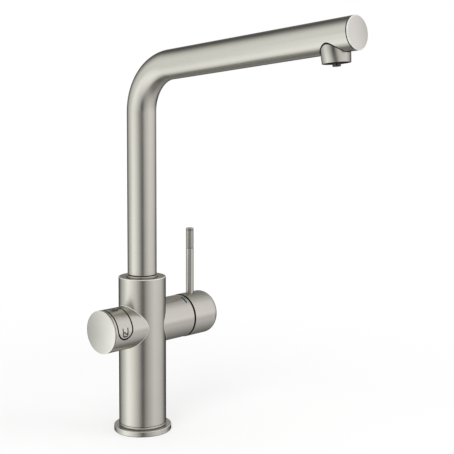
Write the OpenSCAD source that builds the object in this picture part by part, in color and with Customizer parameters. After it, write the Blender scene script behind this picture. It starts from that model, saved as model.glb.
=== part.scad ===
// Kitchen mixer tap with a second, filtered supply: upright body, swivelling L spout,
// mixing lever on one side and a rocker control for filtered water on the other.
// Origin on the body's axis at the worktop, +Z up, spout towards -Y,
// mixing lever at +X, filter control at -X.

/* [Base] */
// Diameter of the ring on the worktop
base_d = 56; // [52:0.5:62]
// Height of the ring on the worktop
base_h = 5.4; // [4:0.1:8]
// Width of the gasket under the ring
gasket_w = 3.2; // [2:0.1:4]
// Thickness of the gasket under the ring
gasket_h = 1.6; // [1:0.1:2.5]
// Thickness of the black seal between the ring and the body
seal_h = 0.6; // [0.4:0.1:1.2]

/* [Body] */
// Diameter of the upright body
body_d = 46; // [45:0.5:50]
// Height of the body's top above the worktop
body_top = 152; // [148:1:165]
// Wall of the upright body
body_wall = 2.5; // [2:0.1:3]
// Thickness of the body's top plate
body_roof = 4; // [3:0.1:6]
// Width of the small chamfers on visible edges
edge = 0.6; // [0.3:0.1:1]
// Height of the axis that the lever and the control share
side_z = 104.8; // [96:0.2:112]

/* [Spout] */
// Outer diameter of the spout tube
spout_d = 28.2; // [26:0.1:29]
// Wall of the spout tube
spout_wall = 1.5; // [1:0.1:2]
// Height where the axes of the riser and of the arm meet
corner_z = 351.8; // [300:1:400]
// Length of the arm from that corner to its end
arm_len = 254.4; // [200:1:300]
// Angle by which the arm rises
arm_rise = 5.85; // [0:0.05:12]
// Radius of the bend at the tube's axis
bend_r = 44.9; // [35:0.5:60]
// Diameter of the slide ring that the spout turns on
slide_ring_d = 30.4; // [30:0.1:34]
// Height of the slide ring above the body
slide_ring_h = 1.9; // [1.5:0.1:3]
// Diameter of the stem that turns in the body
stem_d = 22; // [20:0.2:24]
// Depth of the socket that the stem turns in
socket_depth = 22; // [20:1:26]
// Angle that the spout turns to each side
spout_turn = 75; // [30:5:80]
// Thickness of the disc that closes the arm
end_disc = 1.3; // [1:0.1:2.5]
// Width of the seam before the disc
end_seam = 0.45; // [0.3:0.05:0.8]

/* [Outlet] */
// Distance from the outlet's axis to the end of the arm
outlet_back = 23.1; // [18:0.5:40]
// Diameter of the outlet where it leaves the arm
outlet_d = 24.8; // [22:0.1:25.6]
// Diameter of the outlet's mouth
mouth_d = 23.7; // [21:0.1:24.4]
// Distance from the arm's axis to the outlet's mouth
outlet_drop = 21.7; // [20:0.1:30]
// Diameter of the nozzle for filtered water
nozzle_d = 7; // [6:0.1:8]
// Length of nozzle that stands out of the mouth
nozzle_out = 2.6; // [1:0.1:5]
// Outer diameter of the filtered-water tube
tube_d = 6; // [5:0.1:6.4]
// Bore of the filtered-water tube
tube_bore = 4; // [3:0.1:4.4]
// Radius of the tube's bend above the nozzle
tube_bend = 9; // [7:0.5:10]

/* [Mixing lever] */
// Diameter of the body's arm that holds the cartridge
mixer_d = 42.5; // [40:0.1:44]
// Distance from the body's axis to the end of that arm
mixer_end = 51.3; // [48:0.1:60]
// Gap between that arm and the lever's cap
cap_gap = 1.3; // [1.2:0.1:2]
// Diameter of the lever's cap
cap_d = 43.4; // [43.3:0.1:46]
// Length of the lever's cap
cap_len = 34.8; // [30:0.2:40]
// Radius of the cap's rounded edge
cap_round = 8; // [5:0.2:10]
// Wall of the cap
cap_wall = 2.2; // [2:0.1:3]
// Distance from the cap's rim to the lever rod
rod_in = 12.9; // [12:0.1:16]
// Diameter of the lever rod
rod_d = 7.8; // [6:0.1:9]
// Height of the lever rod's top above the worktop
rod_top = 193; // [170:1:230]
// Length of the knurled grip
grip_len = 20.2; // [12:0.2:30]
// Distance from the cap's rim back to the tilting axis
tilt_back = 30; // [29:0.5:31]
// Angle that the lever tilts
lever_tilt = 20; // [10:1:20]
// Width of the hot and cold marks
mark_w = 1.3; // [0.8:0.1:2]
// Distance from the end of the arm to the marks
mark_in = 4.5; // [3:0.1:6]
// Angle that each mark covers
mark_arc = 26; // [15:1:30]

/* [Filter control] */
// Diameter of the body's arm that holds the control
control_d = 41.1; // [40:0.1:44]
// Distance from the body's axis to the end of the control
control_end = 53.3; // [52:0.1:60]
// Thickness of the disc at the end
control_disc = 1.4; // [1:0.1:2]
// Width of the light ring in the seam behind the disc
light_w = 0.6; // [0.4:0.1:1]
// Wall of the control's arm
control_wall = 2.15; // [2:0.05:2.6]
// Width of the rocker button
rocker_w = 17.1; // [14:0.1:17.6]
// Gap around the rocker button
rocker_gap = 0.75; // [0.75:0.05:1]
// Distance from the end of the control to the rocker's middle
rocker_in = 13.7; // [13.4:0.1:14.6]
// Angle of the rocker's middle, from the top towards the front
rocker_mid = 45.5; // [35:0.5:55]
// Half the angle between the centres of the rocker's round ends
rocker_half = 34.5; // [30:0.5:38]
// Thickness of the rocker
rocker_t = 2.3; // [2:0.1:2.6]
// Angle that the rocker tips to each side
rocker_tip = 2.5; // [1:0.1:2.5]

/* [Valve and cartridge] */
// Step from the valve body's foot in to its post
core_step = 3.95; // [3.5:0.05:4.5]
// Height of the valve body's foot
core_foot = 24; // [20:1:30]
// Diameter of the cartridge
cartridge_d = 35; // [34:0.2:35.4]
// Distance from the body's axis to the cartridge's seat
seat_x = 6; // [5:0.2:6.4]
// Diameter of the cartridge's spindle
spindle_d = 7; // [6:0.1:7]
// Diameter of the spindle's pin
pin_d = 3; // [2:0.1:3.2]
// Diameter of the water ports
port_d = 5.2; // [4:0.1:5.4]
// Diameter of the threaded hose inlets, at the crest of the thread
inlet_d = 9; // [8:0.1:10]
// Depth of the threaded hose inlets
inlet_depth = 12; // [8:1:16]
// Diameter of the threaded hole for the fixing stud, at the crest of the thread
stud_d = 6.8; // [6:0.1:7]

/* [Clearances] */
// Gap around a piece that sits still in its seat
fit = 0.05; // [0.02:0.01:0.08]
// Gap around a piece that turns or slides in its bearing
run = 0.06; // [0.03:0.01:0.09]
// Gap beside a piece that moves free
play = 0.3; // [0.2:0.05:0.4]

/* [Hidden] */
$fn = 96;
over = 1;

steel = [0.74, 0.72, 0.68];
brass = [0.80, 0.66, 0.38];
black = [0.09, 0.09, 0.09];
ceramic = [0.93, 0.92, 0.88];
white = [0.94, 0.94, 0.92];

// Radii and levels of the body
base_r = base_d / 2;
body_r = body_d / 2;
bore_r = body_r - body_wall;
foot_r = bore_r - fit;
seal_proud = 0.9;
seal_r = body_r + seal_proud;
body_z = base_h + seal_h;
roof_z = body_top - body_roof;
core_r = foot_r - core_step;
ring_foot = 0.3;
gasket_in = 2;
gasket_r = base_r - gasket_in;

// Stem, socket and slide ring of the spout
spout_r = spout_d / 2;
spout_bore = spout_r - spout_wall;
stem_r = stem_d / 2;
stem_wall = 3.4;
stem_bore = stem_r - stem_wall;
stem_gap = 1;
socket_z = roof_z - socket_depth;
stem_z = socket_z + stem_gap;
sleeve_wall = 1.8;
sleeve_r = stem_r + run + sleeve_wall;
spout_z = body_top + slide_ring_h + play;
plug_len = 18;
o_ring_r = 1;
stem_seal_in = 3.2;
stem_seal_pitch = 5.2;
stem_seal_z = [stem_z + stem_seal_in, stem_z + stem_seal_in + stem_seal_pitch];
stop_drop = 3.2;
stop_z = roof_z - stop_drop;
stop_r = 1.3;
stop_depth = 1.3;
stop_body_r = 2;
hex_r = 1.15;

// Bend of the spout, in the plane of the riser and the arm
bend_turn = 90 - arm_rise;
bend_tangent = bend_r * tan(bend_turn / 2);
bend_z = corner_z - bend_tangent;
lap = 0.3;
lap_step = 0.01;

// Outlet, in distances from the arm's axis
outlet_r = outlet_d / 2;
mouth_r = mouth_d / 2;
outlet_wall = 1.3;
insert_r = mouth_r - outlet_wall;
washer_seat = 1.6;
neck_r = insert_r - washer_seat;
insert_in = 0.6;
insert_h = 7;
washer_h = 1.5;
neck_end = outlet_drop - insert_in - insert_h - washer_h;
outlet_top = 7;
nozzle_r = nozzle_d / 2;
tube_r = tube_d / 2;
tube_in = tube_bore / 2;
socket_len = 3;
nozzle_top = outlet_drop - insert_in - insert_h - socket_len;
nozzle_wall = 1.2;
arm_end = arm_len - end_disc - end_seam;
end_plug = 5;
end_plug_web = 1;
end_plug_wall = 2;

// Lever's side, in distances from the body's axis
mixer_r = mixer_d / 2;
mixer_wall = 2.25;
mixer_bore = mixer_r - mixer_wall;
cap_r = cap_d / 2;
cap_x = mixer_end + cap_gap;
cap_rim = 1.5;
cap_rim_in = 3;
cap_end = cap_x + cap_len;
rod_x = cap_x + rod_in;
rod_r = rod_d / 2;
rod_sunk = 3.8;
rod_seat = cap_r - rod_sunk;
rod_core = 2.5;
rod_thread = 8;
rod_boss_r = 5.6;
cap_screw_r = 2;
cap_screw_len = 8;
cap_screw_boss_r = 4.6;
tilt_x = cap_x - tilt_back;
hub_r = 5.5;
hub_in = 6;
hub_x = cap_x + hub_in;
hub_depth = 13;
spindle_r = spindle_d / 2;
cartridge_r = cartridge_d / 2;
shell_wall = 3;
cavity_r = cartridge_r - shell_wall;
base_t = 4;
disc_t = 3;
disc_margin = 3.1;
seal_w = 1.1;
seal_t = 1;
tip_r = 2.2;
neck_step = 0.6;
seat_disc_x = seat_x + base_t;
slide_disc_x = seat_disc_x + disc_t + fit;
disc_web = 1;
tip_x = slide_disc_x + disc_web + play + tip_r;
carrier_gap = 0.8;
carrier_x = slide_disc_x + disc_t + carrier_gap;
nut_in = 6.2;
nut_x = mixer_end - nut_in;
lip_t = 2;
pin_in = 1.2;
ring_in = 0.8;
ring_x = mixer_end - ring_in;
ring_out = 2;
ring_gap = 1.8;
ring_r = cap_r - cap_rim - ring_gap;

// How far down the tilted spindle reaches at a distance x from the body's axis
function reach(x) = (x - tilt_x) * tan(lever_tilt) + spindle_r / cos(lever_tilt);

// Ports of the cartridge: hot, cold and mixed, as [y, height over the side axis]
ports = [[6.5, -5], [-6.5, -5], [-6, 6]];
port_r = port_d / 2;
passage_x = -2;
inlet_y = 9.8;
filter_x = -11;
filter_r = 2.2;
drill_in = 1;
stud_x = 9.5;

// Control's side
control_r = control_d / 2;
control_bore = control_r - control_wall;
casting_end = control_end - control_disc - light_w;
rocker_x = -control_end + rocker_in;
rocker_r = control_r - fit;
strip_trim = 0.08;
strip_in = 4;
frame_r = control_bore - fit;
frame_gap = 0.6;
frame_out = casting_end - frame_gap;
frame_over = 2.5;
frame_in = control_end - 2 * rocker_in + frame_over;
ear = 1.5;
pin_drop = 4;
pin_v = control_r - pin_drop;
rocker_pin_r = 1;
rocker_boss = 1.3;
rocker_end = 1;
board_v = 5;
board_t = 1.6;
board_side = 3;
screw_r = 1;
screw_len = 4.8;
screw_head_r = 2;
screw_head = 1.2;
screw_off = 6;
pad_u = 12.5;
pad_h = 1.4;
pad_r = 1.6;
pad_foot_r = 2.8;
pad_travel = pad_u * sin(rocker_tip) + play;
spigot_r = 16.6;
light_in = 0.45;

// Passages of the valve body
coupling_drop = 4;
coupling_z = socket_z - coupling_drop;
coupling_len = 12;
coupling_wall = 0.7;
cable_turn = 135;
cable_r = 2.2;
cable_bore = 1.3;
cable_wall = 0.5;
cable_out = foot_r - cable_wall - cable_r - fit;
cable_relief = 7;

// Hot and cold marks let into the lever's arm
mark_depth = 0.35;
cold_from = 17;
hot_to = 4;

// A ring or disc about Z
module ring(r_out, r_in, z0, z1) {
    translate([0, 0, z0])
        difference() {
            cylinder(h = z1 - z0, r = r_out);
            if (r_in > 0)
                translate([0, 0, -over])
                    cylinder(h = z1 - z0 + 2 * over, r = r_in);
        }
}

// Puts what stands on Z onto the side axis, pointing to +X, at a distance x
module on_side(x) {
    translate([x, 0, side_z])
        rotate([0, 90, 0])
            children();
}

// A disc or ring about the side axis, from x0 to x1
module side_ring(r_out, r_in, x0, x1) {
    on_side(x0)
        ring(r_out, r_in, 0, x1 - x0);
}

// Part of a ring about the side axis; angles run from the top towards the front
module side_sector(r_out, r_in, x0, x1, a0, a1) {
    on_side(x0)
        rotate([0, 0, 180 + a0])
            rotate_extrude(angle = a1 - a0)
                translate([r_in, 0])
                    square([r_out - r_in, x1 - x0]);
}

// Turns +Z to the angle a from the top towards the front, about the side axis
module side_angle(x, a) {
    translate([x, 0, side_z])
        rotate([a, 0, 0])
            children();
}

// The arm's frame: origin at the corner, +Z along the arm, +Y upwards
module on_arm() {
    translate([0, 0, corner_z])
        rotate([90 - arm_rise, 0, 0])
            children();
}

// The outlet's frame: +Z down the outlet's axis, origin on the arm's axis
module on_outlet() {
    on_arm()
        translate([0, 0, arm_len - outlet_back])
            rotate([90, 0, 0])
                children();
}

// A quarter or other part of a bend that starts upwards and turns to -Y;
// its wall is a hair thinner than the straight tube that laps over its ends
module bend(radius, turn, r_out, r_in) {
    translate([0, -radius, 0])
        rotate([90, 0, 90])
            rotate_extrude(angle = turn)
                translate([radius, 0])
                    difference() {
                        circle(r = r_out - lap_step);
                        circle(r = r_in + lap_step);
                    }
}

// An upright cylinder with a chamfer c0 at its foot and c1 at its top; 0 leaves a sharp edge
module chamfered(r, h, c0, c1) {
    foot = c0 > 0 ? [[r - c0, 0], [r, c0]] : [[r, 0]];
    top = c1 > 0 ? [[r, h - c1], [r - c1, h]] : [[r, h]];
    rotate_extrude()
        polygon(concat([[0, 0]], foot, top, [[0, h]]));
}

// Outline of the rocker's strip, deep enough to cut with: a sector with two round ends,
// which is a hair narrower than they are wide
module strip(w, depth, reach_out) {
    side_sector(reach_out, depth, rocker_x - w / 2 + strip_trim, rocker_x + w / 2 - strip_trim,
        rocker_mid - rocker_half, rocker_mid + rocker_half);
    for (side = [-1, 1])
        side_angle(rocker_x, rocker_mid + side * rocker_half)
            translate([0, 0, depth])
                cylinder(h = reach_out - depth, r = w / 2);
}

// Body: one casting with both side arms
module body_casting() {
    color(steel)
        difference() {
            union() {
                translate([0, 0, body_z])
                    chamfered(body_r, body_top - body_z, edge, edge);
                on_side(-casting_end)
                    cylinder(h = casting_end, r = control_r);
                on_side(0)
                    cylinder(h = mixer_end, r = mixer_r);
            }
            translate([0, 0, body_z - over])
                cylinder(h = roof_z - body_z + over, r = bore_r);
            translate([0, 0, roof_z - over])
                cylinder(h = body_roof + 2 * over, r = sleeve_r + fit);
            on_side(-casting_end - over)
                cylinder(h = casting_end + over, r = control_bore);
            on_side(0)
                cylinder(h = mixer_end + over, r = mixer_bore);
            strip(rocker_w + 2 * rocker_gap, control_bore - strip_in, control_r + over);
            translate([0, bore_r - over, stop_z])
                rotate([-90, 0, 0])
                    cylinder(h = body_wall + 2 * over, r = stop_body_r + play);
            marks(mark_depth + over, over);
        }
}

// A mark starts at the angle from, is let in by depth and stands proud by proud
module mark(from, depth, proud) {
    side_sector(mixer_r + proud, mixer_r + proud - depth, mixer_end - mark_in - mark_w / 2,
        mixer_end - mark_in + mark_w / 2, from, from + mark_arc);
}

module marks(depth, proud) {
    mark(cold_from, depth, proud);
    mark(hot_to - mark_arc, depth, proud);
}

module cold_mark() {
    color([0.10, 0.38, 0.56])
        mark(cold_from, mark_depth, 0);
}

module hot_mark() {
    color([0.75, 0.30, 0.30])
        mark(hot_to - mark_arc, mark_depth, 0);
}

// Valve body: brass post with the waterways, the cartridge's seat and the stem's socket
module valve_body() {
    color(brass)
        difference() {
            union() {
                cylinder(h = core_foot, r = foot_r);
                cylinder(h = roof_z, r = core_r);
            }
            on_side(seat_x)
                cylinder(h = body_r, r = cartridge_r + fit);
            translate([0, 0, socket_z])
                cylinder(h = socket_depth + over, r = stem_r + run);
            // hot and cold supplies
            for (i = [0, 1]) {
                side = i == 0 ? 1 : -1;
                port = ports[i];
                translate([passage_x, side * inlet_y, -over])
                    cylinder(h = inlet_depth + over, r = inlet_d / 2);
                translate([passage_x, side * (inlet_y - 1), 0])
                    cylinder(h = side_z + port[1] + drill_in, r = port_r);
                translate([passage_x - drill_in, port[0], side_z + port[1]])
                    rotate([0, 90, 0])
                        cylinder(h = seat_x - passage_x + drill_in + over, r = port_r);
            }
            // mixed water up to the socket
            translate([0, ports[2][0] - 0.5, side_z + ports[2][1] - drill_in])
                cylinder(h = socket_z - side_z - ports[2][1] + drill_in + over, r = port_r);
            translate([-drill_in, ports[2][0], side_z + ports[2][1]])
                rotate([0, 90, 0])
                    cylinder(h = seat_x + drill_in + over, r = port_r);
            // filtered water up to its coupling
            translate([filter_x, 0, -over])
                cylinder(h = inlet_depth + over, r = stud_d / 2);
            translate([filter_x, 0, 0])
                cylinder(h = coupling_z + drill_in, r = filter_r);
            translate([filter_x - drill_in, 0, coupling_z])
                rotate([0, 90, 0])
                    cylinder(h = drill_in - filter_x, r = filter_r - 0.2);
            translate([0, 0, coupling_z])
                cylinder(h = socket_z - coupling_z + over, r = filter_r + fit);
            // fixing stud, control cable and stop screw
            translate([stud_x, 0, -over])
                cylinder(h = core_foot - 4 + over, r = stud_d / 2);
            translate([0, 0, -over])
                rotate([0, 0, cable_turn])
                    translate([cable_out, 0, 0])
                        cylinder(h = core_foot + cable_relief + over, r = cable_r + fit);
            translate([0, stem_r - over, stop_z])
                rotate([-90, 0, 0])
                    cylinder(h = core_r - stem_r + 2 * over, r = stop_body_r + fit);
        }
}

// Grommet for the control's cable, in the foot of the valve body
module cable_grommet() {
    color(black)
        rotate([0, 0, cable_turn])
            translate([cable_out, 0, 0])
                ring(cable_r, cable_bore, 0.5, core_foot);
}

// Ring that stands on the worktop, with its gasket
module base_ring() {
    color(steel)
        difference() {
            chamfered(base_r, base_h, ring_foot, edge);
            translate([0, 0, -over])
                cylinder(h = base_h + 2 * over, r = foot_r + fit);
            ring(gasket_r, gasket_r - gasket_w, -over, gasket_h);
        }
}

module base_gasket() {
    color(black)
        ring(gasket_r - fit, gasket_r - gasket_w + fit, 0, gasket_h);
}

module body_seal() {
    color(black)
        ring(seal_r, foot_r + fit, base_h, body_z);
}

// Slide ring: the spout turns on its flange and in its sleeve
module slide_ring() {
    color([0.45, 0.44, 0.42])
        difference() {
            union() {
                translate([0, 0, body_top])
                    chamfered(slide_ring_d / 2, slide_ring_h, 0, 0.3);
                translate([0, 0, roof_z + fit])
                    cylinder(h = body_roof, r = sleeve_r);
            }
            translate([0, 0, roof_z - over])
                cylinder(h = body_roof + slide_ring_h + 2 * over, r = stem_r + run);
        }
}

// Grub screw at the back that limits the spout's turn
module stop_screw() {
    color([0.5, 0.5, 0.52])
        translate([0, 0, stop_z])
            rotate([-90, 0, 0])
                difference() {
                    union() {
                        translate([0, 0, stem_r + play])
                            cylinder(h = bore_r + body_wall / 2 - stem_r - play, r = stop_body_r);
                        translate([0, 0, stem_r - stop_depth + play])
                            cylinder(h = stop_depth + over / 2, r = stop_r);
                    }
                    translate([0, 0, bore_r - over])
                        cylinder(h = body_wall + over, r = hex_r, $fn = 6);
                }
}

// Fixed spigot that the filtered-water tube turns on
module filter_coupling() {
    color(brass)
        ring(filter_r, tube_in - run - coupling_wall, coupling_z + filter_r, socket_z);
    color(brass)
        ring(tube_in - run, tube_in - run - coupling_wall, socket_z, socket_z + coupling_len);
}

// Spout: riser, bend and arm in one tube
module spout_tube() {
    color(steel)
        difference() {
            union() {
                ring(spout_r, spout_bore, spout_z, bend_z);
                translate([0, 0, bend_z])
                    bend(bend_r, bend_turn, spout_r, spout_bore);
                on_arm()
                    ring(spout_r, spout_bore, bend_tangent - lap, arm_end);
            }
            on_outlet()
                cylinder(h = spout_r + over, r = outlet_r + fit);
        }
}

// Stem: plugs the riser's foot and turns in the valve body
module spout_stem() {
    stop_arc = spout_turn + asin((stop_r + play) / (stem_r - stop_depth));
    color(brass)
        difference() {
            union() {
                translate([0, 0, stem_z])
                    cylinder(h = spout_z - stem_z, r = stem_r);
                translate([0, 0, spout_z])
                    cylinder(h = plug_len, r = spout_bore - fit);
            }
            translate([0, 0, stem_z - over])
                cylinder(h = spout_z + plug_len - stem_z + 2 * over, r = stem_bore);
            for (z = stem_seal_z)
                ring(stem_r + over, stem_r - 2 * o_ring_r, z - 1.1 * o_ring_r, z + 1.1 * o_ring_r);
            translate([0, 0, stop_z - stop_r - play])
                rotate([0, 0, 90 - stop_arc])
                    rotate_extrude(angle = 2 * stop_arc)
                        translate([stem_r - stop_depth, 0])
                            square([stop_depth + over, 2 * (stop_r + play)]);
        }
}

module stem_seals() {
    color(black)
        for (z = stem_seal_z)
            translate([0, 0, z])
                rotate_extrude()
                    translate([stem_r + run / 2 - o_ring_r, 0])
                        circle(r = o_ring_r);
}

// Filtered-water tube: up the riser, round the bend, along the arm and down to the nozzle
module filter_tube() {
    color(white)
        union() {
            ring(tube_r, tube_in, socket_z + 1.5, bend_z);
            translate([0, 0, bend_z])
                bend(bend_r, bend_turn, tube_r, tube_in);
            on_arm() {
                ring(tube_r, tube_in, bend_tangent - lap, arm_len - outlet_back - tube_bend + lap);
                translate([0, 0, arm_len - outlet_back - tube_bend])
                    bend(tube_bend, 90, tube_r, tube_in);
            }
            on_outlet()
                ring(tube_r, tube_in, tube_bend - lap, nozzle_top + socket_len - fit);
        }
}

// Disc that closes the arm, with a plug inside the tube
module spout_end_cap() {
    color(steel)
        on_arm()
            difference() {
                union() {
                    translate([0, 0, arm_len - end_disc])
                        chamfered(spout_r, end_disc, 0, 0.4);
                    translate([0, 0, arm_end - end_plug])
                        cylinder(h = arm_len - arm_end + end_plug - end_disc / 2, r = spout_bore - fit);
                }
                translate([0, 0, arm_end - end_plug - over])
                    cylinder(h = end_plug - end_plug_web + over, r = spout_bore - end_plug_wall);
            }
}

// Outlet: set square to the arm, with its insert screwed in from below
module outlet_housing() {
    straight = spout_r + 0.6;
    color(steel)
        on_outlet()
            difference() {
                rotate_extrude()
                    polygon([
                        [0, outlet_top], [outlet_r, outlet_top], [outlet_r, straight],
                        [mouth_r, outlet_drop - edge], [mouth_r - edge / 2, outlet_drop], [0, outlet_drop],
                    ]);
                translate([0, 0, outlet_top - over])
                    cylinder(h = outlet_drop, r = neck_r);
                translate([0, 0, neck_end])
                    cylinder(h = outlet_drop, r = insert_r);
            }
}

module aerator_washer() {
    color(black)
        on_outlet()
            ring(insert_r - fit, neck_r + 0.4, neck_end, neck_end + washer_h);
}

module aerator_insert() {
    holes = 20;
    color([0.55, 0.55, 0.54])
        on_outlet()
            translate([0, 0, neck_end + washer_h])
                difference() {
                    cylinder(h = insert_h, r = insert_r - fit);
                    translate([0, 0, -over])
                        cylinder(h = insert_h + 2 * over, r = nozzle_r + fit);
                    translate([0, 0, 1.5])
                        ring(insert_r - 1.2, nozzle_r + 1.1, 0, insert_h);
                    for (i = [0 : holes - 1])
                        rotate([0, 0, i * 360 / holes])
                            translate([(insert_r + nozzle_r) / 2, 0, -over])
                                cylinder(h = 4, r = 0.5);
                }
}

module filter_nozzle() {
    color(black)
        on_outlet()
            difference() {
                union() {
                    translate([0, 0, nozzle_top])
                        cylinder(h = socket_len, r = nozzle_r + nozzle_wall);
                    translate([0, 0, nozzle_top])
                        cylinder(h = outlet_drop + nozzle_out - nozzle_top, r = nozzle_r);
                }
                translate([0, 0, nozzle_top - over])
                    cylinder(h = socket_len + over, r = tube_r + fit);
                translate([0, 0, nozzle_top])
                    cylinder(h = outlet_drop, r = tube_in);
            }
}

// Cartridge: base with ports, fixed and sliding ceramic discs, turning carrier in a shell
module port_holes(x0, x1, r) {
    for (p = ports)
        translate([x0, p[0], side_z + p[1]])
            rotate([0, 90, 0])
                cylinder(h = x1 - x0, r = r);
}

module cartridge_base() {
    color(white)
        difference() {
            side_ring(cartridge_r, 0, seat_x, seat_disc_x);
            port_holes(seat_x - over, seat_disc_x + over, port_r);
            port_holes(seat_x - over, seat_x + seal_t, port_r + seal_w);
        }
}

module port_seals() {
    color(black)
        for (p = ports)
            translate([seat_x, p[0], side_z + p[1]])
                rotate([0, 90, 0])
                    ring(port_r + seal_w - fit, port_r, 0, seal_t - fit);
}

module ceramic_seat_disc() {
    color(ceramic)
        difference() {
            side_ring(cavity_r - fit, 0, seat_disc_x, seat_disc_x + disc_t);
            port_holes(seat_disc_x - over, seat_disc_x + disc_t + over, port_r);
        }
}

module ceramic_slide_disc() {
    slide_r = cavity_r - disc_margin;
    color(ceramic)
        difference() {
            side_ring(slide_r, 0, slide_disc_x, slide_disc_x + disc_t);
            side_ring(tip_r + play, 0, slide_disc_x + disc_web, slide_disc_x + disc_t + over);
        }
}

module cartridge_shell() {
    color(white)
        difference() {
            side_ring(cartridge_r, 0, seat_disc_x, nut_x);
            side_ring(cavity_r, 0, seat_disc_x - over, nut_x - lip_t);
            side_ring(reach(nut_x) + play, 0, nut_x - lip_t - over, nut_x + over);
        }
}

module cartridge_carrier() {
    far = nut_x - lip_t - play;
    slot = spindle_d + 2 * play;
    color([0.75, 0.75, 0.72])
        difference() {
            side_ring(cavity_r - run, 0, carrier_x, far);
            // slot that the spindle tilts in, outwards of its pin and inwards
            translate([tilt_x - spindle_r - play, -slot / 2, side_z - reach(far) - play])
                cube([far - tilt_x + spindle_r + play + over, slot, reach(far) + spindle_r + 2 * play]);
            translate([carrier_x - over, -slot / 2, side_z - spindle_r - play])
                cube([tilt_x - carrier_x + over, slot, 2 * spindle_r + 2 * play + 2.2]);
            translate([tilt_x, cavity_r, side_z])
                rotate([90, 0, 0])
                    cylinder(h = 2 * cavity_r, r = pin_d / 2 + fit);
        }
}

module spindle() {
    color([0.8, 0.8, 0.82])
        difference() {
            union() {
                on_side(tip_x + 1)
                    cylinder(h = tilt_x - tip_x, r = tip_r - neck_step);
                translate([tip_x, 0, side_z])
                    sphere(r = tip_r);
                on_side(tilt_x - 3)
                    cylinder(h = hub_x + hub_depth - 0.5 - tilt_x + 3, r = spindle_r);
            }
            translate([tilt_x, body_r, side_z])
                rotate([90, 0, 0])
                    cylinder(h = body_d, r = pin_d / 2 + run);
        }
}

module spindle_pin() {
    color([0.6, 0.6, 0.62])
        translate([tilt_x, cavity_r - pin_in, side_z])
            rotate([90, 0, 0])
                cylinder(h = 2 * (cavity_r - pin_in), r = pin_d / 2);
}

// Ring nut that clamps the cartridge, and the dark ring seen in the gap
module cartridge_nut() {
    color(brass)
        side_ring(mixer_bore - fit, reach(ring_x) + play, nut_x, ring_x);
}

module gap_ring() {
    color(black)
        side_ring(ring_r, reach(mixer_end + ring_out) + play, ring_x, mixer_end + ring_out);
}

// Lever: hollow cap with a hub for the spindle, a rod screwed in from above and its grip
module cap_outline(r, len, round_r) {
    square([r - round_r, len]);
    square([r, len - round_r]);
    translate([r - round_r, len - round_r])
        circle(r = round_r);
}

module lever_cap() {
    inner_r = cap_r - cap_wall;
    color(steel)
        difference() {
            union() {
                on_side(cap_x)
                    difference() {
                        rotate_extrude()
                            cap_outline(cap_r, cap_len, cap_round);
                        translate([0, 0, -over])
                            rotate_extrude()
                                cap_outline(inner_r, cap_len - cap_wall + over, cap_round - cap_wall);
                        translate([0, 0, -over])
                            cylinder(h = over + cap_rim_in, r = cap_r - cap_rim);
                    }
                on_side(hub_x)
                    cylinder(h = cap_end - cap_wall / 2 - hub_x, r = hub_r);
                translate([rod_x, 0, side_z])
                    cylinder(h = inner_r + cap_wall / 2, r = rod_boss_r);
                translate([rod_x, 0, side_z - inner_r - cap_wall / 2])
                    cylinder(h = inner_r + cap_wall / 2, r = cap_screw_boss_r);
            }
            on_side(hub_x - over)
                cylinder(h = hub_depth + over, r = spindle_r + fit);
            translate([rod_x, 0, side_z + rod_seat])
                cylinder(h = cap_r, r = rod_r + play);
            translate([rod_x, 0, side_z + rod_seat - rod_thread - play])
                cylinder(h = cap_r, r = rod_core + fit);
            translate([rod_x, 0, side_z - cap_r - over])
                cylinder(h = cap_r + over, r = cap_screw_r + fit);
        }
}

module lever_rod() {
    color(steel)
        union() {
            translate([rod_x, 0, side_z + rod_seat])
                cylinder(h = rod_top - grip_len - side_z - rod_seat, r = rod_r);
            translate([rod_x, 0, side_z + rod_seat - rod_thread])
                cylinder(h = rod_top - 2 - side_z - rod_seat + rod_thread, r = rod_core);
        }
}

module lever_grip() {
    color([0.55, 0.54, 0.52])
        translate([rod_x, 0, rod_top - grip_len])
            difference() {
                chamfered(rod_r, grip_len, 0, 0.4);
                translate([0, 0, -over])
                    cylinder(h = grip_len - 2 + over + fit, r = rod_core + fit);
            }
}

module cap_screw() {
    color([0.5, 0.5, 0.52])
        translate([rod_x, 0, side_z - spindle_r - cap_screw_len])
            difference() {
                cylinder(h = cap_screw_len - fit, r = cap_screw_r);
                translate([0, 0, -over])
                    cylinder(h = over + 2.5, r = hex_r, $fn = 6);
            }
}

// Filter control: plastic frame, board, pads, rocker on its pin, light ring and end disc
module control_frame() {
    color(black)
        difference() {
            side_ring(frame_r, 0, -frame_out, -frame_in);
            side_angle(0, rocker_mid) {
                translate([-frame_out + ear, -frame_r - over, board_v])
                    cube([frame_out - frame_in - 2 * ear, 2 * (frame_r + over), frame_r]);
                translate([-frame_out - over, 0, pin_v])
                    rotate([0, 90, 0])
                        cylinder(h = frame_out - frame_in + 2 * over, r = rocker_pin_r + fit);
                for (x = screw_x)
                    translate([x, 0, board_v - screw_len - play])
                        cylinder(h = screw_len + play + over, r = screw_r + fit);
            }
        }
}

screw_x = [rocker_x - screw_off, rocker_x + screw_off];
module control_board() {
    wide = 2 * (pad_u + board_side);
    long = frame_out - frame_in - 2 * ear - 2 * fit;
    color([0.08, 0.30, 0.16])
        side_angle(-(frame_out + frame_in) / 2, rocker_mid)
            difference() {
                translate([-long / 2, -wide / 2, board_v])
                    cube([long, wide, board_t]);
                for (x = screw_x)
                    translate([x + (frame_out + frame_in) / 2, 0, board_v - over])
                        cylinder(h = board_t + 2 * over, r = screw_r + fit);
            }
}

module board_screws() {
    color([0.6, 0.6, 0.62])
        for (x = screw_x)
            side_angle(x, rocker_mid) {
                translate([0, 0, board_v - screw_len])
                    cylinder(h = screw_len + board_t, r = screw_r);
                translate([0, 0, board_v + board_t])
                    cylinder(h = screw_head, r = screw_head_r);
            }
}

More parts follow.
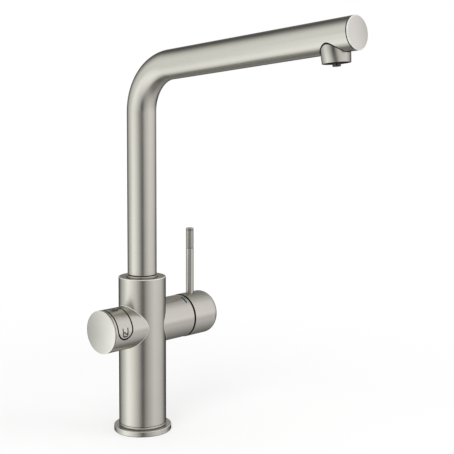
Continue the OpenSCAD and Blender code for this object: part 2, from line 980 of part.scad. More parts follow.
module switch_pads() {
    color([0.85, 0.85, 0.83])
        for (side = [-1, 1])
            side_angle(rocker_x, rocker_mid)
                translate([0, side * pad_u, board_v + board_t]) {
                    cylinder(h = pad_h / 2, r = pad_foot_r);
                    cylinder(h = pad_h, r = pad_r);
                }
}

module rocker_button() {
    inner = rocker_r - rocker_t;
    color(steel)
        difference() {
            union() {
                intersection() {
                    side_ring(rocker_r, inner, rocker_x - rocker_w, rocker_x + rocker_w);
                    strip(rocker_w, inner - strip_in, rocker_r + over);
                }
                side_angle(rocker_x, rocker_mid) {
                    translate([-rocker_w / 2 + rocker_end, 0, pin_v])
                        rotate([0, 90, 0])
                            cylinder(h = rocker_w - 2 * rocker_end, r = rocker_pin_r + rocker_boss);
                    for (side = [-1, 1])
                        translate([0, side * pad_u, board_v + board_t + pad_h + pad_travel])
                            cylinder(h = inner * cos(asin(pad_u / inner)) + 1
                                - board_v - board_t - pad_h - pad_travel, r = pad_r);
                }
            }
            side_angle(rocker_x, rocker_mid)
                translate([-rocker_w, 0, pin_v])
                    rotate([0, 90, 0])
                        cylinder(h = 2 * rocker_w, r = rocker_pin_r + run);
        }
}

module rocker_pin() {
    color([0.6, 0.6, 0.62])
        side_angle(0, rocker_mid)
            translate([-frame_out + play, 0, pin_v])
                rotate([0, 90, 0])
                    cylinder(h = frame_out - frame_in - 2 * play, r = rocker_pin_r);
}

module light_ring() {
    color([0.75, 0.76, 0.74])
        side_ring(control_r - light_in, spigot_r + fit, -casting_end - light_w, -casting_end);
}

module control_end_cap() {
    color(steel)
        union() {
            on_side(-control_end)
                chamfered(control_r, control_disc, edge, 0);
            side_ring(spigot_r, 0, -control_end + control_disc / 2, -frame_out - fit);
        }
}

body_casting();
valve_body();
base_ring();
base_gasket();
body_seal();
cable_grommet();
slide_ring();
stop_screw();
filter_coupling();
spout_tube();
spout_stem();
stem_seals();
filter_tube();
spout_end_cap();
outlet_housing();
aerator_insert();
aerator_washer();
filter_nozzle();
cartridge_base();
port_seals();
ceramic_seat_disc();
ceramic_slide_disc();
cartridge_shell();
cartridge_carrier();
spindle();
spindle_pin();
cartridge_nut();
gap_ring();
lever_cap();
lever_rod();
lever_grip();
cap_screw();
cold_mark();
hot_mark();
control_frame();
control_board();
board_screws();
switch_pads();
rocker_button();
rocker_pin();
light_ring();
control_end_cap();
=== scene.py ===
"""Looks of the filter kitchen mixer tap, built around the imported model.

Sizes are in millimetres as in the part's source and become metres when a mesh is made.
"""
from math import asin, atan2, cos, degrees, hypot, pi, radians, sin, sqrt, tan

import bpy
from mathutils import Matrix, Vector


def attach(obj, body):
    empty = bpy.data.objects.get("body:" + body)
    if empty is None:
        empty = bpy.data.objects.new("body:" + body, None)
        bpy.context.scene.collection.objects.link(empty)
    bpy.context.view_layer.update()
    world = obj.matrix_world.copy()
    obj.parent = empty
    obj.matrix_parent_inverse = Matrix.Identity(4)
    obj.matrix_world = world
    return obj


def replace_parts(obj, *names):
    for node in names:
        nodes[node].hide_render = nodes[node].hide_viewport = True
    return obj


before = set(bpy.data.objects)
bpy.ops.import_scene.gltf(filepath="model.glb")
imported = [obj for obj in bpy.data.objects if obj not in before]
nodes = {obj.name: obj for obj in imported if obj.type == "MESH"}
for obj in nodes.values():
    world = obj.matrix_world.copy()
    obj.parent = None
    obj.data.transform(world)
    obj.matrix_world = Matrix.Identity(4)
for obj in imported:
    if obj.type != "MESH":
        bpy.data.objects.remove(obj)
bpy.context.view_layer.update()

MM = 0.001
TAU = 2 * pi
UV = "Brush"

# Angles that differ by less than this count as one
SAME = 1e-5

# Driving sizes of the part's source
BASE_R, BASE_H, SEAL_H = 28.0, 5.4, 0.6
BODY_R, BODY_WALL, BODY_TOP, ROOF_BORE, SIDE_Z = 23.0, 2.5, 152.0, 13.1, 104.8
STOP_Z, STOP_R = 144.8, 2.3
SLIDE_R, SLIDE_BORE, SLIDE_H, PLAY = 15.2, 11.1, 1.9, 0.3
SPOUT_R, SPOUT_WALL, CORNER_Z, BEND_R, RISE = 14.1, 1.5, 351.8, 44.9, radians(5.85)
ARM_LEN, END_DISC, END_SEAM = 254.4, 1.3, 0.45
OUTLET_BACK, OUTLET_R, OUTLET_WALL, MOUTH_R, MOUTH_S = 23.1, 12.4, 1.3, 11.85, 21.7
NOZZLE_R, NOZZLE_BORE, NOZZLE_OUT = 3.5, 2.0, 2.6
MIXER_R, MIXER_WALL, MIXER_END = 21.25, 2.25, 51.3
CAP_R, CAP_GAP, CAP_LEN, CAP_ROUND = 21.7, 1.3, 34.8, 8.0
CAP_WALL, CAP_RIM, CAP_RIM_IN, CAP_HOLE_R = 2.2, 1.5, 3.0, 2.05
ROD_IN, ROD_R, ROD_CORE, ROD_SUNK, ROD_TOP = 12.9, 3.9, 2.5, 3.8, 193.0
GRIP_LEN, GRIP_BORE = 20.2, 3.3
MARK_IN, MARK_W, MARK_ARC = 4.5, 1.3, 26
CONTROL_R, CONTROL_WALL, CONTROL_END = 20.55, 2.15, 53.3
DISC_T, DISC_PLUG, LIGHT_W, LIGHT_BORE = 1.4, 16.6, 0.6, 17.0
ROCKER_IN, ROCKER_W, ROCKER_GAP, ROCKER_T = 13.7, 17.1, 0.75, 2.3
ROCKER_MID, ROCKER_HALF = radians(45.5), radians(34.5)

# Sizes that follow from them
BODY_Z = BASE_H + SEAL_H
FOOT_R = BODY_R - BODY_WALL
SLIDE_TOP = BODY_TOP + SLIDE_H
SPOUT_Z = SLIDE_TOP + PLAY
SPOUT_BORE = SPOUT_R - SPOUT_WALL
BEND_TURN = pi / 2 - RISE
BEND_S = BEND_R * tan(BEND_TURN / 2)
BEND_Z = CORNER_Z - BEND_S
ARM_END = ARM_LEN - END_DISC - END_SEAM
OUTLET_S = ARM_LEN - OUTLET_BACK
INSERT_R = MOUTH_R - OUTLET_WALL
NOZZLE_END = MOUTH_S + NOZZLE_OUT
MIXER_BORE = MIXER_R - MIXER_WALL
CAP_X = MIXER_END + CAP_GAP
CAP_END = CAP_X + CAP_LEN
ROD_X = CAP_X + ROD_IN
ROD_FOOT = SIDE_Z + CAP_R - ROD_SUNK
MARK_X = MIXER_END - MARK_IN
CONTROL_BORE = CONTROL_R - CONTROL_WALL
CASTING_END = CONTROL_END - DISC_T - LIGHT_W
ROCKER_X = ROCKER_IN - CONTROL_END

# Small forms that only this scene has
FILLET = 0.7
SEAT_R = FOOT_R + 0.1
GROOVE_Z, GROOVE_W, GROOVE_D = BODY_Z + 1.8, 0.5, 0.3
PLATE_R = CONTROL_R - 0.05
GRIP_R = ROD_R - 0.02
GRIP_FOOT = ROD_TOP - GRIP_LEN
GRIP_HEAD = ROD_TOP - 2.2
KNURL_STARTS, KNURL_PITCH, KNURL_DEPTH = 22, 1.15, 0.07
INK_T = 0.03
SLEEVE_TURN = radians(8)


# Axes and meshes with exact normals
class Axis:
    """A straight axis: s runs along it, and the angle runs from u to v."""

    def __init__(self, origin, along, u):
        self.origin = Vector(origin)
        self.along = Vector(along).normalized()
        self.u = Vector(u).normalized()
        self.v = self.along.cross(self.u)

    def out(self, t):
        """Direction away from the axis at the angle t."""
        return self.u * cos(t) + self.v * sin(t)

    def around(self, t):
        """Direction in which the angle grows at the angle t."""
        return self.v * cos(t) - self.u * sin(t)

    def at(self, s, t, r):
        return self.origin + self.along * s + self.out(t) * r


UP = Axis((0, 0, 0), (0, 0, 1), (1, 0, 0))
SIDE = Axis((0, 0, SIDE_Z), (1, 0, 0), (0, 0, 1))
RISER = Axis((0, 0, 0), (0, 0, 1), (0, 1, 0))
ARM = Axis((0, 0, CORNER_Z), (0, -cos(RISE), sin(RISE)), (0, sin(RISE), cos(RISE)))
OUTLET = Axis(ARM.at(OUTLET_S, 0, 0), -ARM.u, ARM.along)
ROD = Axis((ROD_X, 0, 0), (0, 0, 1), (1, 0, 0))
CONTROL = Axis((0, 0, SIDE_Z), (-1, 0, 0), (0, 0, 1))


class Shape:
    """Faces with a normal, a brush coordinate and an edge value at each corner.

    The edge value, 0 to 1, is the strength of the painted highlight on a rounded edge there; a scale set per
    shape scales it. Faces of part 1 get the second material, which is painted shade."""

    def __init__(self):
        self.verts = []
        self.index = {}
        self.faces = []
        self.parts = []
        self.normals = []
        self.uvs = []
        self.edges = []
        self.part = 0
        self.highlight_scale = 1.0

    def vert(self, p):
        """Number of the vertex at a point; points that meet within 0.0005 mm share one."""
        key = (round(p[0] * 2000), round(p[1] * 2000), round(p[2] * 2000))
        if key not in self.index:
            self.index[key] = len(self.verts)
            self.verts.append(Vector(p))
        return self.index[key]

    def poly(self, corners):
        """corners: (point, normal, (u, v), edge); it is turned so that it faces its normals."""
        kept = []
        for point, *rest in corners:
            i = self.vert(point)
            if not kept or (kept[-1][0] != i and kept[0][0] != i):
                kept.append((i, *rest))
        if len(kept) < 3:
            return
        area, side = Vector(), Vector()
        for j, corner in enumerate(kept):
            area += self.verts[kept[j - 1][0]].cross(self.verts[corner[0]])
            side += corner[1]
        if area.dot(side) < 0:
            kept.reverse()
        self.faces.append([corner[0] for corner in kept])
        self.parts.append(self.part)
        for _, n, uv, edge in kept:
            self.normals.append(n)
            self.uvs.append(uv)
            self.edges.append(edge * self.highlight_scale)

    def rows(self, rows):
        """A grid of corners: each row is a list of corners of the same length."""
        for a, b in zip(rows, rows[1:]):
            for i in range(len(a) - 1):
                self.poly([a[i], a[i + 1], b[i + 1], b[i]])

    def piece(self, name, body, slot, *materials):
        """The shape as an object that rides on a body."""
        me = bpy.data.meshes.new(name)
        me.from_pydata([v * MM for v in self.verts], [], self.faces)
        layer = me.uv_layers.new(name=UV)
        layer.data.foreach_set("uv", [c * MM for uv in self.uvs for c in uv])
        edge = me.attributes.new("edge", "FLOAT", "CORNER")
        edge.data.foreach_set("value", self.edges)
        for m in materials:
            me.materials.append(m)
        me.polygons.foreach_set("material_index", self.parts)
        me.polygons.foreach_set("use_smooth", [True] * len(me.polygons))
        me.normals_split_custom_set([tuple(n.normalized()) for n in self.normals])
        ob = bpy.data.objects.new(name, me)
        bpy.context.scene.collection.objects.link(ob)
        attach(ob, body)
        return ob


def circle(n):
    return [TAU * i / n for i in range(n)]


def full_turn(angles):
    """The angles, with the first one again at the end."""
    return [*angles, angles[0] + TAU]


def merged(*lists):
    """All angles of the lists, once each, from 0 to a full turn."""
    out = []
    for t in sorted(t % TAU for angles in lists for t in angles):
        if not out or t - out[-1] > SAME:
            out.append(t)
    if len(out) > 1 and out[0] + TAU - out[-1] < SAME:
        out.pop()
    return out


def highlight_strength(radius):
    """Strength of the painted highlight on a rounded edge: a wide round gets none, and a fine one less."""
    widest = 2
    return 0.0 if radius > widest else min(1.0, radius)


def unit(s, r):
    length = hypot(s, r)
    return s / length, r / length


def profile(points, steps):
    """Smooth runs of (s, r, normal along s, normal along r, way so far, edge value), from points
    of (s, r, fillet radius) in order, with the metal on the right."""
    runs = []
    run = []
    way = 0.0
    for i in range(len(points) - 1):
        s0, r0, _ = points[i]
        s1, r1, radius = points[i + 1]
        ds, dr = unit(s1 - s0, r1 - r0)
        ns, nr = -dr, ds
        if not run:
            run.append((s0, r0, ns, nr, way, 0.0))
        if radius <= 0 or i + 2 >= len(points):
            way += hypot(s1 - run[-1][0], r1 - run[-1][1])
            run.append((s1, r1, ns, nr, way, 0.0))
            runs.append(run)
            run = []
            continue
        s2, r2, _ = points[i + 2]
        es, er = unit(s2 - s1, r2 - r1)
        turn = atan2(ds * er - dr * es, ds * es + dr * er)
        side = -1 if turn < 0 else 1
        back = radius * tan(abs(turn) / 2)
        first_s, first_r = s1 - ds * back, r1 - dr * back
        mid_s, mid_r = first_s + side * ns * radius, first_r + side * nr * radius
        way += hypot(first_s - run[-1][0], first_r - run[-1][1])
        run.append((first_s, first_r, ns, nr, way, 0.0))
        for k in range(1, steps + 1):
            b = turn * k / steps
            ms, mr = ns * cos(b) - nr * sin(b), ns * sin(b) + nr * cos(b)
            way += abs(turn) * radius / steps
            edge = 0.0 if k == steps else highlight_strength(radius)
            run.append((mid_s - side * ms * radius, mid_r - side * mr * radius, ms, mr, way, edge))
    return runs


def lathe(shape, axis, points, angles=None, steps=5):
    """Turns a profile of (s, r, fillet radius) about an axis."""
    angles = angles or circle(96)
    widest = max(r for _, r, _ in points)
    for run in profile(points, steps):
        rows = []
        for s, r, ns, nr, way, edge in run:
            rows.append([(axis.at(s, t, r), axis.along * ns + axis.out(t) * nr, (t * widest, way), edge)
                         for t in full_turn(angles)])
        shape.rows(rows)


def swell(shape, along, times):
    """Turns the normals of an end face outwards, as if the face were more crowned."""
    for i, n in enumerate(shape.normals):
        if n.dot(along) > 0.985:
            shape.normals[i] = n + (n - along * n.dot(along)) * (times - 1)


class Hole:
    """A round hole square to a cylinder's side, or a long one that runs around it.

    w is its half width, r the cylinder's radius, e the radius of its edge, half the half angle
    between its round ends and n the steps in a quarter turn."""

    def __init__(self, axis, s, mid, w, r, e=0.0, half=0.0, n=10):
        self.axis, self.s, self.mid, self.r, self.e, self.half, self.n = axis, s, mid, r, e, half, n
        self.w = w + e

    def outline(self):
        """Once around, as (kind, value, side): the straight sides by angle, the ends by turn."""
        out = []
        sides = max(1, round(self.half * 2 / radians(3)))
        for side, first in ((1, 0.0), (-1, pi)):
            if self.half:
                out += [("side", self.mid + side * self.half * (2 * k / sides - 1), side)
                        for k in range(sides)]
            out += [("end", first + pi * k / (2 * self.n), side) for k in range(2 * self.n)]
        return out

    def point(self, item, w, r):
        """(s, angle, direction away from the hole) of an outline point at half width w, radius r."""
        kind, value, side = item
        if kind == "side":
            return self.s + side * w, value, self.axis.along * side
        end = self.mid + side * self.half
        away = self.axis.along * cos(value) + self.axis.around(end) * sin(value)
        return self.s + w * cos(value), end + asin(w * sin(value) / r), away

    def angles(self):
        return [self.point(item, self.w, self.r)[1] for item in self.outline()]

    def span(self, t):
        """Where the hole lies along the cylinder at the angle t, or None."""
        off = abs((t - self.mid + pi) % TAU - pi)
        if off <= self.half + 1e-7:
            return self.s - self.w, self.s + self.w
        if off - self.half > pi / 2:
            return None
        rest = self.w * self.w - (self.r * sin(off - self.half)) ** 2
        if rest < -1e-5 * self.w:
            return None
        reach = sqrt(max(rest, 0))
        return self.s - reach, self.s + reach

    def rim(self, shape, rows):
        """rows: (half width, radius, share of the normal that points away from the hole, edge)."""
        items = self.outline()
        made = []
        for w, r, share, edge in rows:
            row = []
            for item in [*items, items[0]]:
                s, t, away = self.point(item, w, r)
                n = self.axis.out(t) * sqrt(max(0.0, 1 - share * share)) + away * share
                row.append((self.axis.at(s, t, r), n, (t * self.r, s), edge))
            made.append(row)
        shape.rows(made)


def rounding(w, r, e, way, steps=4):
    """Rows of a rim with a round edge of radius e: way is 1 for a plate and -1 for a hole."""
    rows = []
    for k in range(steps + 1):
        b = pi / 2 * k / steps
        edge = highlight_strength(e) if 0 < k < steps else 0.0
        rows.append((w - way * e + way * e * sin(b), r - e + e * cos(b), way * sin(b), edge))
    return rows


def dark(make, shape, *args):
    """Makes faces of the shape's second material, which paints shade on the sides of a gap."""
    shape.part = 1
    make(shape, *args)
    shape.part = 0


def cut(shape, hole, floor):
    """A hole's rounded edge with a painted highlight, and its wall in painted shade down to the radius
    floor.
    """
    w = hole.w - hole.e
    hole.rim(shape, rounding(w, hole.r, hole.e, -1))
    dark(hole.rim, shape, [(w, hole.r - hole.e, -1, 0), (w, floor, -1, 0)])


def shell(shape, axis, r, angles, start, end, holes=()):
    """A cylinder's side from start to end, numbers or functions of the angle, less its holes."""
    spots = []
    for t in full_turn(angles):
        breaks = [start(t) if callable(start) else start, end(t) if callable(end) else end]
        spans = [hole.span(t) for hole in holes]
        for span in spans:
            if span:
                breaks += span
        spots.append((t, sorted(set(round(b, 7) for b in breaks)), spans))
    for (t0, breaks0, spans0), (t1, breaks1, spans1) in zip(spots, spots[1:]):
        cuts = sorted((*a, *b) for a, b in zip(spans0, spans1) if a and b)
        low0, low1 = breaks0[0], breaks1[0]
        for high0, next0, high1, next1 in [*cuts, (breaks0[-1], None, breaks1[-1], None)]:
            left = [b for b in breaks0 if low0 - 1e-6 <= b <= high0 + 1e-6]
            right = [b for b in breaks1 if low1 - 1e-6 <= b <= high1 + 1e-6]
            corners = [(axis.at(b, t0, r), axis.out(t0), (t0 * r, b), 0.0) for b in left]
            corners += [(axis.at(b, t1, r), axis.out(t1), (t1 * r, b), 0.0) for b in reversed(right)]
            shape.poly(corners)
            low0, low1 = next0, next1


def crown(s_rim, s_mid, r, fillet, n=6):
    """Profile points of a slightly crowned face from its rounded rim to its middle."""
    points = [(s_rim, r, fillet)]
    for k in range(1, n + 1):
        q = 1 - k / n
        points.append((s_mid + (s_rim - s_mid) * q * q, r * q, 0.0))
    return points


# Materials
# Pale colour of the painted highlight on rounded steel edges
EDGE_HIGHLIGHT = (0.97, 0.96, 0.92, 1)
SHEEN = (0.30, 0.29, 0.28, 1)


def empty_tree(owner):
    """The cleared node tree of a material or a world."""
    owner.use_nodes = True
    owner.node_tree.nodes.clear()
    return owner.node_tree


def feed(tree, socket, value):
    """Gives an input a plain value, or a link from a socket or a node's first output."""
    if hasattr(value, "outputs"):
        value = value.outputs[0]
    if hasattr(value, "links"):
        tree.links.new(value, socket)
    else:
        socket.default_value = value


def put(tree, kind, *values, **named):
    """A new shader node, with its first inputs in order and others by name."""
    node = tree.nodes.new("ShaderNode" + kind)
    for socket, value in zip(node.inputs, values):
        feed(tree, socket, value)
    for name, value in named.items():
        feed(tree, node.inputs[name.replace("_", " ")], value)
    return node


def maths(tree, how, *values):
    node = put(tree, "Math")
    node.operation = how
    for socket, value in zip(node.inputs, values):
        feed(tree, socket, value)
    return node


def mix_colours(tree, how, factor, a, b):
    node = put(tree, "Mix")
    node.data_type = "RGBA"
    node.blend_type = how
    for name, value in (("Factor", factor), ("A", a), ("B", b)):
        feed(tree, node.inputs[name], value)
    return node.outputs["Result"]


def ramp(tree, factor, stops):
    """A colour ramp of (position, colour or grey level)."""
    node = put(tree, "ValToRGB", factor)
    elements = node.color_ramp.elements
    while len(elements) < len(stops):
        elements.new(1.0)
    while len(elements) > len(stops):
        elements.remove(elements[-1])
    for element, (position, colour) in zip(elements, stops):
        element.position = position
        element.color = (*colour, 1) if hasattr(colour, "__len__") else (colour, colour, colour, 1)
    return node


def noise(tree, place, scale, detail, rough):
    return put(tree, "TexNoise", Vector=place, Scale=scale, Detail=detail, Roughness=rough)


def bump(tree, height, strength):
    return put(tree, "Bump", Height=height, Strength=strength, Distance=0.00002)


def steel(name, tint, rough, stretch, brush=(60, 4200)):
    """Brushed metal: fine streaks around the form, soft cloudy tone, and a painted highlight that makes
    rounded edges paler and less metallic. brush gives the grains in a metre, around the form and along it."""
    mat = bpy.data.materials.new(name)
    tree = empty_tree(mat)
    tangent = put(tree, "Tangent")
    tangent.direction_type = "UV_MAP"
    tangent.uv_map = UV
    uv = put(tree, "UVMap")
    uv.uv_map = UV
    attribute = put(tree, "Attribute")
    attribute.attribute_name = "edge"
    edge = attribute.outputs["Fac"]
    grain = put(tree, "Mapping", uv, Scale=(*brush, 1))
    streak = noise(tree, grain, scale=1.0, detail=3.0, rough=0.6)
    cloud = noise(tree, put(tree, "TexCoord").outputs["Object"], scale=38.0, detail=3.0, rough=0.5)
    base = ramp(tree, streak, [(0.3, [c * 0.975 for c in tint]), (0.7, [c * 1.02 for c in tint])])
    tone = ramp(tree, cloud, [(0.35, 0.97), (0.65, 1.0)])
    metal = mix_colours(tree, "MULTIPLY", 1.0, base, tone)
    swing = maths(tree, "MULTIPLY_ADD", streak, 0.06, rough - 0.03)
    # Painted highlight: rounded edges are mixed towards a pale colour and made half metallic
    shader = put(tree, "BsdfPrincipled", Base_Color=mix_colours(tree, "MIX", edge, metal, EDGE_HIGHLIGHT),
                 Metallic=maths(tree, "MULTIPLY_ADD", edge, -0.5, 1.0),
                 Roughness=maths(tree, "MULTIPLY_ADD", cloud, 0.06, swing), Specular_Tint=SHEEN,
                 Anisotropic=stretch, Anisotropic_Rotation=0.25, Tangent=tangent,
                 Normal=bump(tree, streak, strength=0.05))
    put(tree, "OutputMaterial", shader)
    return mat


def plain(name, tint, rough, metal=0.0, grain=900.0, spread=0.12, gloss=0.5):
    """Moulded, cast or turned stuff: fine grain, small changes of tone and roughness."""
    mat = bpy.data.materials.new(name)
    tree = empty_tree(mat)
    place = put(tree, "TexCoord").outputs["Object"]
    fine = noise(tree, place, scale=grain, detail=2.0, rough=0.5)
    wide = noise(tree, place, scale=60.0, detail=4.0, rough=0.55)
    both = maths(tree, "MULTIPLY_ADD", fine, 0.4, maths(tree, "MULTIPLY", wide, 0.6))
    low = [c * (1 - spread) for c in tint]
    high = [min(1.0, c * (1 + spread)) for c in tint]
    shader = put(tree, "BsdfPrincipled", Base_Color=ramp(tree, both, [(0.3, low), (0.7, high)]),
                 Metallic=metal, Roughness=maths(tree, "MULTIPLY_ADD", both, 0.2, rough - 0.1),
                 Specular_IOR_Level=gloss, Normal=bump(tree, fine, strength=0.3))
    put(tree, "OutputMaterial", shader)
    return mat


BRUSHED = steel("steel_brushed", (0.700, 0.690, 0.632), rough=0.21, stretch=0.8)
# Besides their own roughness and anisotropy, FINE and GRIP are darker copies of the brushed steel, painted
# shade, and FACE is a paler copy, painted highlight
FINE = steel("steel_fine", (0.62, 0.612, 0.562), rough=0.13, stretch=0.8)
FACE = steel("steel_face", (0.79, 0.783, 0.73), rough=0.20, stretch=0.0)
GRIP = steel("steel_grip", (0.50, 0.493, 0.455), rough=0.15, stretch=0.5, brush=(600, 600))
RUBBER = plain("rubber_black", (0.016, 0.016, 0.016), rough=0.62, grain=1400)
BLACK = plain("plastic_black", (0.020, 0.020, 0.021), rough=0.42)
DARK = plain("nozzle_black", (0.09, 0.088, 0.083), rough=0.22, metal=0.8)
GREY = plain("slide_grey", (0.33, 0.32, 0.30), rough=0.40)
WHITE = plain("plastic_white", (0.80, 0.80, 0.77), rough=0.38, spread=0.04)
BRASS = plain("brass", (0.72, 0.52, 0.24), rough=0.30, metal=1.0, grain=500)
SCREW = plain("steel_screw", (0.56, 0.56, 0.56), rough=0.28, metal=1.0, grain=700)
CERAMIC = plain("ceramic", (0.86, 0.84, 0.78), rough=0.16, spread=0.03)
BOARD = plain("board_green", (0.02, 0.10, 0.045), rough=0.35)
SILICONE = plain("silicone", (0.70, 0.70, 0.68), rough=0.5, spread=0.05)
SMOKE = plain("light_ring", (0.07, 0.072, 0.07), rough=0.22, spread=0.06)
SEAL = plain("foot_seal", (0.09, 0.09, 0.086), rough=0.5)
# Near black: painted shade on the walls and floors of gaps, grooves and holes
GAP_SHADE = plain("gap_shadow", (0.010, 0.010, 0.010), rough=0.7, gloss=0.2)
INK = plain("icon_ink", (0.016, 0.015, 0.014), rough=0.5, gloss=0.2)
COLD = plain("cold_blue", (0.001, 0.046, 0.096), rough=0.6, spread=0.08, gloss=0.0)
HOT = plain("hot_red", (0.62, 0.150, 0.150), rough=0.4, spread=0.08, gloss=0.2)


# Base, body and side arms
def foot_ring():
    """The ring on the worktop, with a fine undercut at its foot in painted shade, and painted highlights on
    its rounded edges.
    """
    foot_z = 0.45
    foot_r = BASE_R - 0.4
    ring = Shape()
    # Painted highlight on the ring's rounded edges, at 0.7 of full strength
    ring.highlight_scale = 0.7
    lathe(ring, UP, [(foot_z, foot_r, 0), (foot_z, BASE_R, 0.12), (BASE_H, BASE_R, 0.6), (BASE_H, FOOT_R, 0),
                     (0, FOOT_R, 0), (0, foot_r, 0)], circle(128))
    dark(lathe, ring, UP, [(0, foot_r, 0), (foot_z, foot_r, 0)], circle(128))
    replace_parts(ring.piece("foot_ring", "tap_body", "base_ring", BRUSHED, GAP_SHADE), "base_ring")


def foot_seal():
    """The dark line between ring and body."""
    outer = BODY_R + 0.15
    seal = Shape()
    lathe(seal, UP, [(BASE_H, SEAT_R, 0), (BASE_H, outer, 0), (BODY_Z, outer, 0.2), (BODY_Z, SEAT_R, 0)],
          circle(128))
    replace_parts(seal.piece("foot_seal", "tap_body", "body_seal", SEAL), "body_seal")


def arm_hole(mid, r):
    """The body's side is open where an arm's fillet meets it."""
    return Hole(UP, SIDE_Z, mid, r + FILLET, BODY_R + FILLET)


def joint(r, t):
    """How far out from the body's axis the fillet's ball lies at the angle t of an arm."""
    return sqrt((BODY_R + FILLET) ** 2 - ((r + FILLET) * sin(t)) ** 2)


def body_angles(mid, r, angles):
    """The body's angles that lie beside an arm's angles, for an arm that leaves it at mid."""
    reach = [(r + FILLET) * sin(t) / (BODY_R + FILLET) for t in angles]
    return [mid + asin(max(-1.0, min(1.0, q))) for q in reach]


def fillet(shape, r, angles, way, steps=4):
    """The small fillet between the body and an arm, with a full painted highlight along it; way is 1 or -1
    along X.
    """
    rows = []
    for k in range(steps + 1):
        edge = 1.0 if 0 < k < steps else 0.0
        row = []
        for t in full_turn(angles):
            x = way * joint(r, t)
            ball = SIDE.at(x, t, r + FILLET)
            body = Vector((ball.x, ball.y, 0)).normalized()
            arm = SIDE.out(t)
            n = body.slerp(arm, k / steps) if body.angle(arm) > 1e-4 else body
            row.append((ball - n * FILLET, n, (t * r, x), edge))
        rows.append(row)
    shape.rows(rows)


def upright(housing, angles, stop_hole):
    """Lip with a band of painted highlight, hairline groove in painted shade, side and top of the body, and
    the stop screw's hole.
    """
    groove_r = BODY_R - GROOVE_D
    side_z = GROOVE_Z + GROOVE_W
    side_top = BODY_TOP - 1
    lip_highlight = 0.3
    lathe(housing, UP, [(BODY_Z, SEAT_R, 0), (BODY_Z, BODY_R, 0.25), (GROOVE_Z, BODY_R, 0)], angles)
    # The whole lip band carries the painted highlight at 0.3 strength
    housing.edges = [lip_highlight] * len(housing.edges)
    dark(lathe, housing, UP, [(GROOVE_Z, BODY_R, 0), (GROOVE_Z + 0.02, groove_r, 0),
                              (side_z - 0.02, groove_r, 0), (side_z, BODY_R, 0)], angles)
    shell(housing, UP, BODY_R, angles, side_z, side_top,
          [arm_hole(pi, CONTROL_R), arm_hole(0, MIXER_R), stop_hole])
    lathe(housing, UP, [(side_top, BODY_R, 0), (BODY_TOP, BODY_R, 0.8), (BODY_TOP, ROOF_BORE, 0),
                        (BODY_TOP - 3, ROOF_BORE, 0)], angles)
    cut(housing, stop_hole, BODY_R - 2)


def control_arm(housing, angles, slot):
    """The arm that holds the filter control, with the rocker's slot; the slot's walls and the inner part of
    the arm's end face are painted shade.
    """
    rim_r = CONTROL_R - 0.3
    side_s = 0.3 - CASTING_END
    shell(housing, SIDE, CONTROL_R, angles, side_s, lambda t: -joint(CONTROL_R, t), [slot])
    dark(lathe, housing, SIDE, [(-CASTING_END, CONTROL_BORE, 0), (-CASTING_END, rim_r, 0)], angles)
    lathe(housing, SIDE, [(-CASTING_END, rim_r, 0), (-CASTING_END, CONTROL_R, 0.12),
                          (side_s, CONTROL_R, 0)], angles)
    cut(housing, slot, CONTROL_BORE)


def mixer_arm(housing, angles):
    """The arm that holds the cartridge, with its fine lip before the lever's cap and painted shade on the
    face and bore inside the lip.
    """
    lip_s = MIXER_END - 0.25
    lip_r = MIXER_R - 0.12
    side_s = lip_s - 0.2
    shell(housing, SIDE, MIXER_R, angles, lambda t: joint(MIXER_R, t), side_s)
    lathe(housing, SIDE, [(side_s, MIXER_R, 0), (lip_s, MIXER_R, 0.1), (lip_s, lip_r, 0)], angles)
    dark(lathe, housing, SIDE, [(lip_s, lip_r, 0), (lip_s, MIXER_BORE, 0), (MIXER_END - 6, MIXER_BORE, 0)],
         angles)


def tap_housing():
    """The upright body with its two arms."""
    slot = Hole(SIDE, ROCKER_X, ROCKER_MID, ROCKER_W / 2 + ROCKER_GAP + 0.35, CONTROL_R, 0.06, ROCKER_HALF)
    stop_hole = Hole(UP, STOP_Z, pi / 2, STOP_R, BODY_R, 0.2, n=6)
    control_turns = merged(circle(120), slot.angles())
    control_turns = merged(control_turns, [pi - t for t in control_turns])
    mixer_turns = circle(128)
    body_turns = merged(circle(112), body_angles(pi, CONTROL_R, control_turns),
                        body_angles(0, MIXER_R, mixer_turns), stop_hole.angles())
    housing = Shape()
    upright(housing, body_turns, stop_hole)
    # Painted highlights on the fillets and the arms' rounded edges, at 0.8 of full strength
    housing.highlight_scale = 0.8
    fillet(housing, CONTROL_R, control_turns, -1)
    fillet(housing, MIXER_R, mixer_turns, 1)
    control_arm(housing, control_turns, slot)
    mixer_arm(housing, mixer_turns)
    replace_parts(housing.piece("tap_housing", "tap_body", "body_casting", BRUSHED, GAP_SHADE), "body_casting")


def mark(name, slot_name, start, material):
    """A filled line with round ends in the mixer's arm; start is its first angle in degrees."""
    steps = 20
    sunk = 0.2
    proud = 0.04
    half_w = MARK_W * 0.7

    def line(side, depth, along, out):
        row = []
        for k in range(steps + 1):
            t = radians(start + MARK_ARC * k / steps)
            past = max(0.0, abs(k - steps / 2) - (steps / 2 - 1))
            bow = sqrt(max(0.0, 1 - past ** 2))
            s = MARK_X + side * half_w * (0.25 + 0.75 * bow)
            n = SIDE.along * along + SIDE.out(t) * out
            row.append((SIDE.at(s, t, MIXER_R + proud - depth), n, (t * MIXER_R, s), 0.0))
        return row

    shape = Shape()
    shape.rows([line(-1, sunk, -1, 0), line(-1, 0, -1, 0)])
    shape.rows([line(-1, 0, 0, 1), line(1, 0, 0, 1)])
    shape.rows([line(1, 0, 1, 0), line(1, sunk, 1, 0)])
    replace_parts(shape.piece(name, "tap_body", slot_name, material), slot_name)


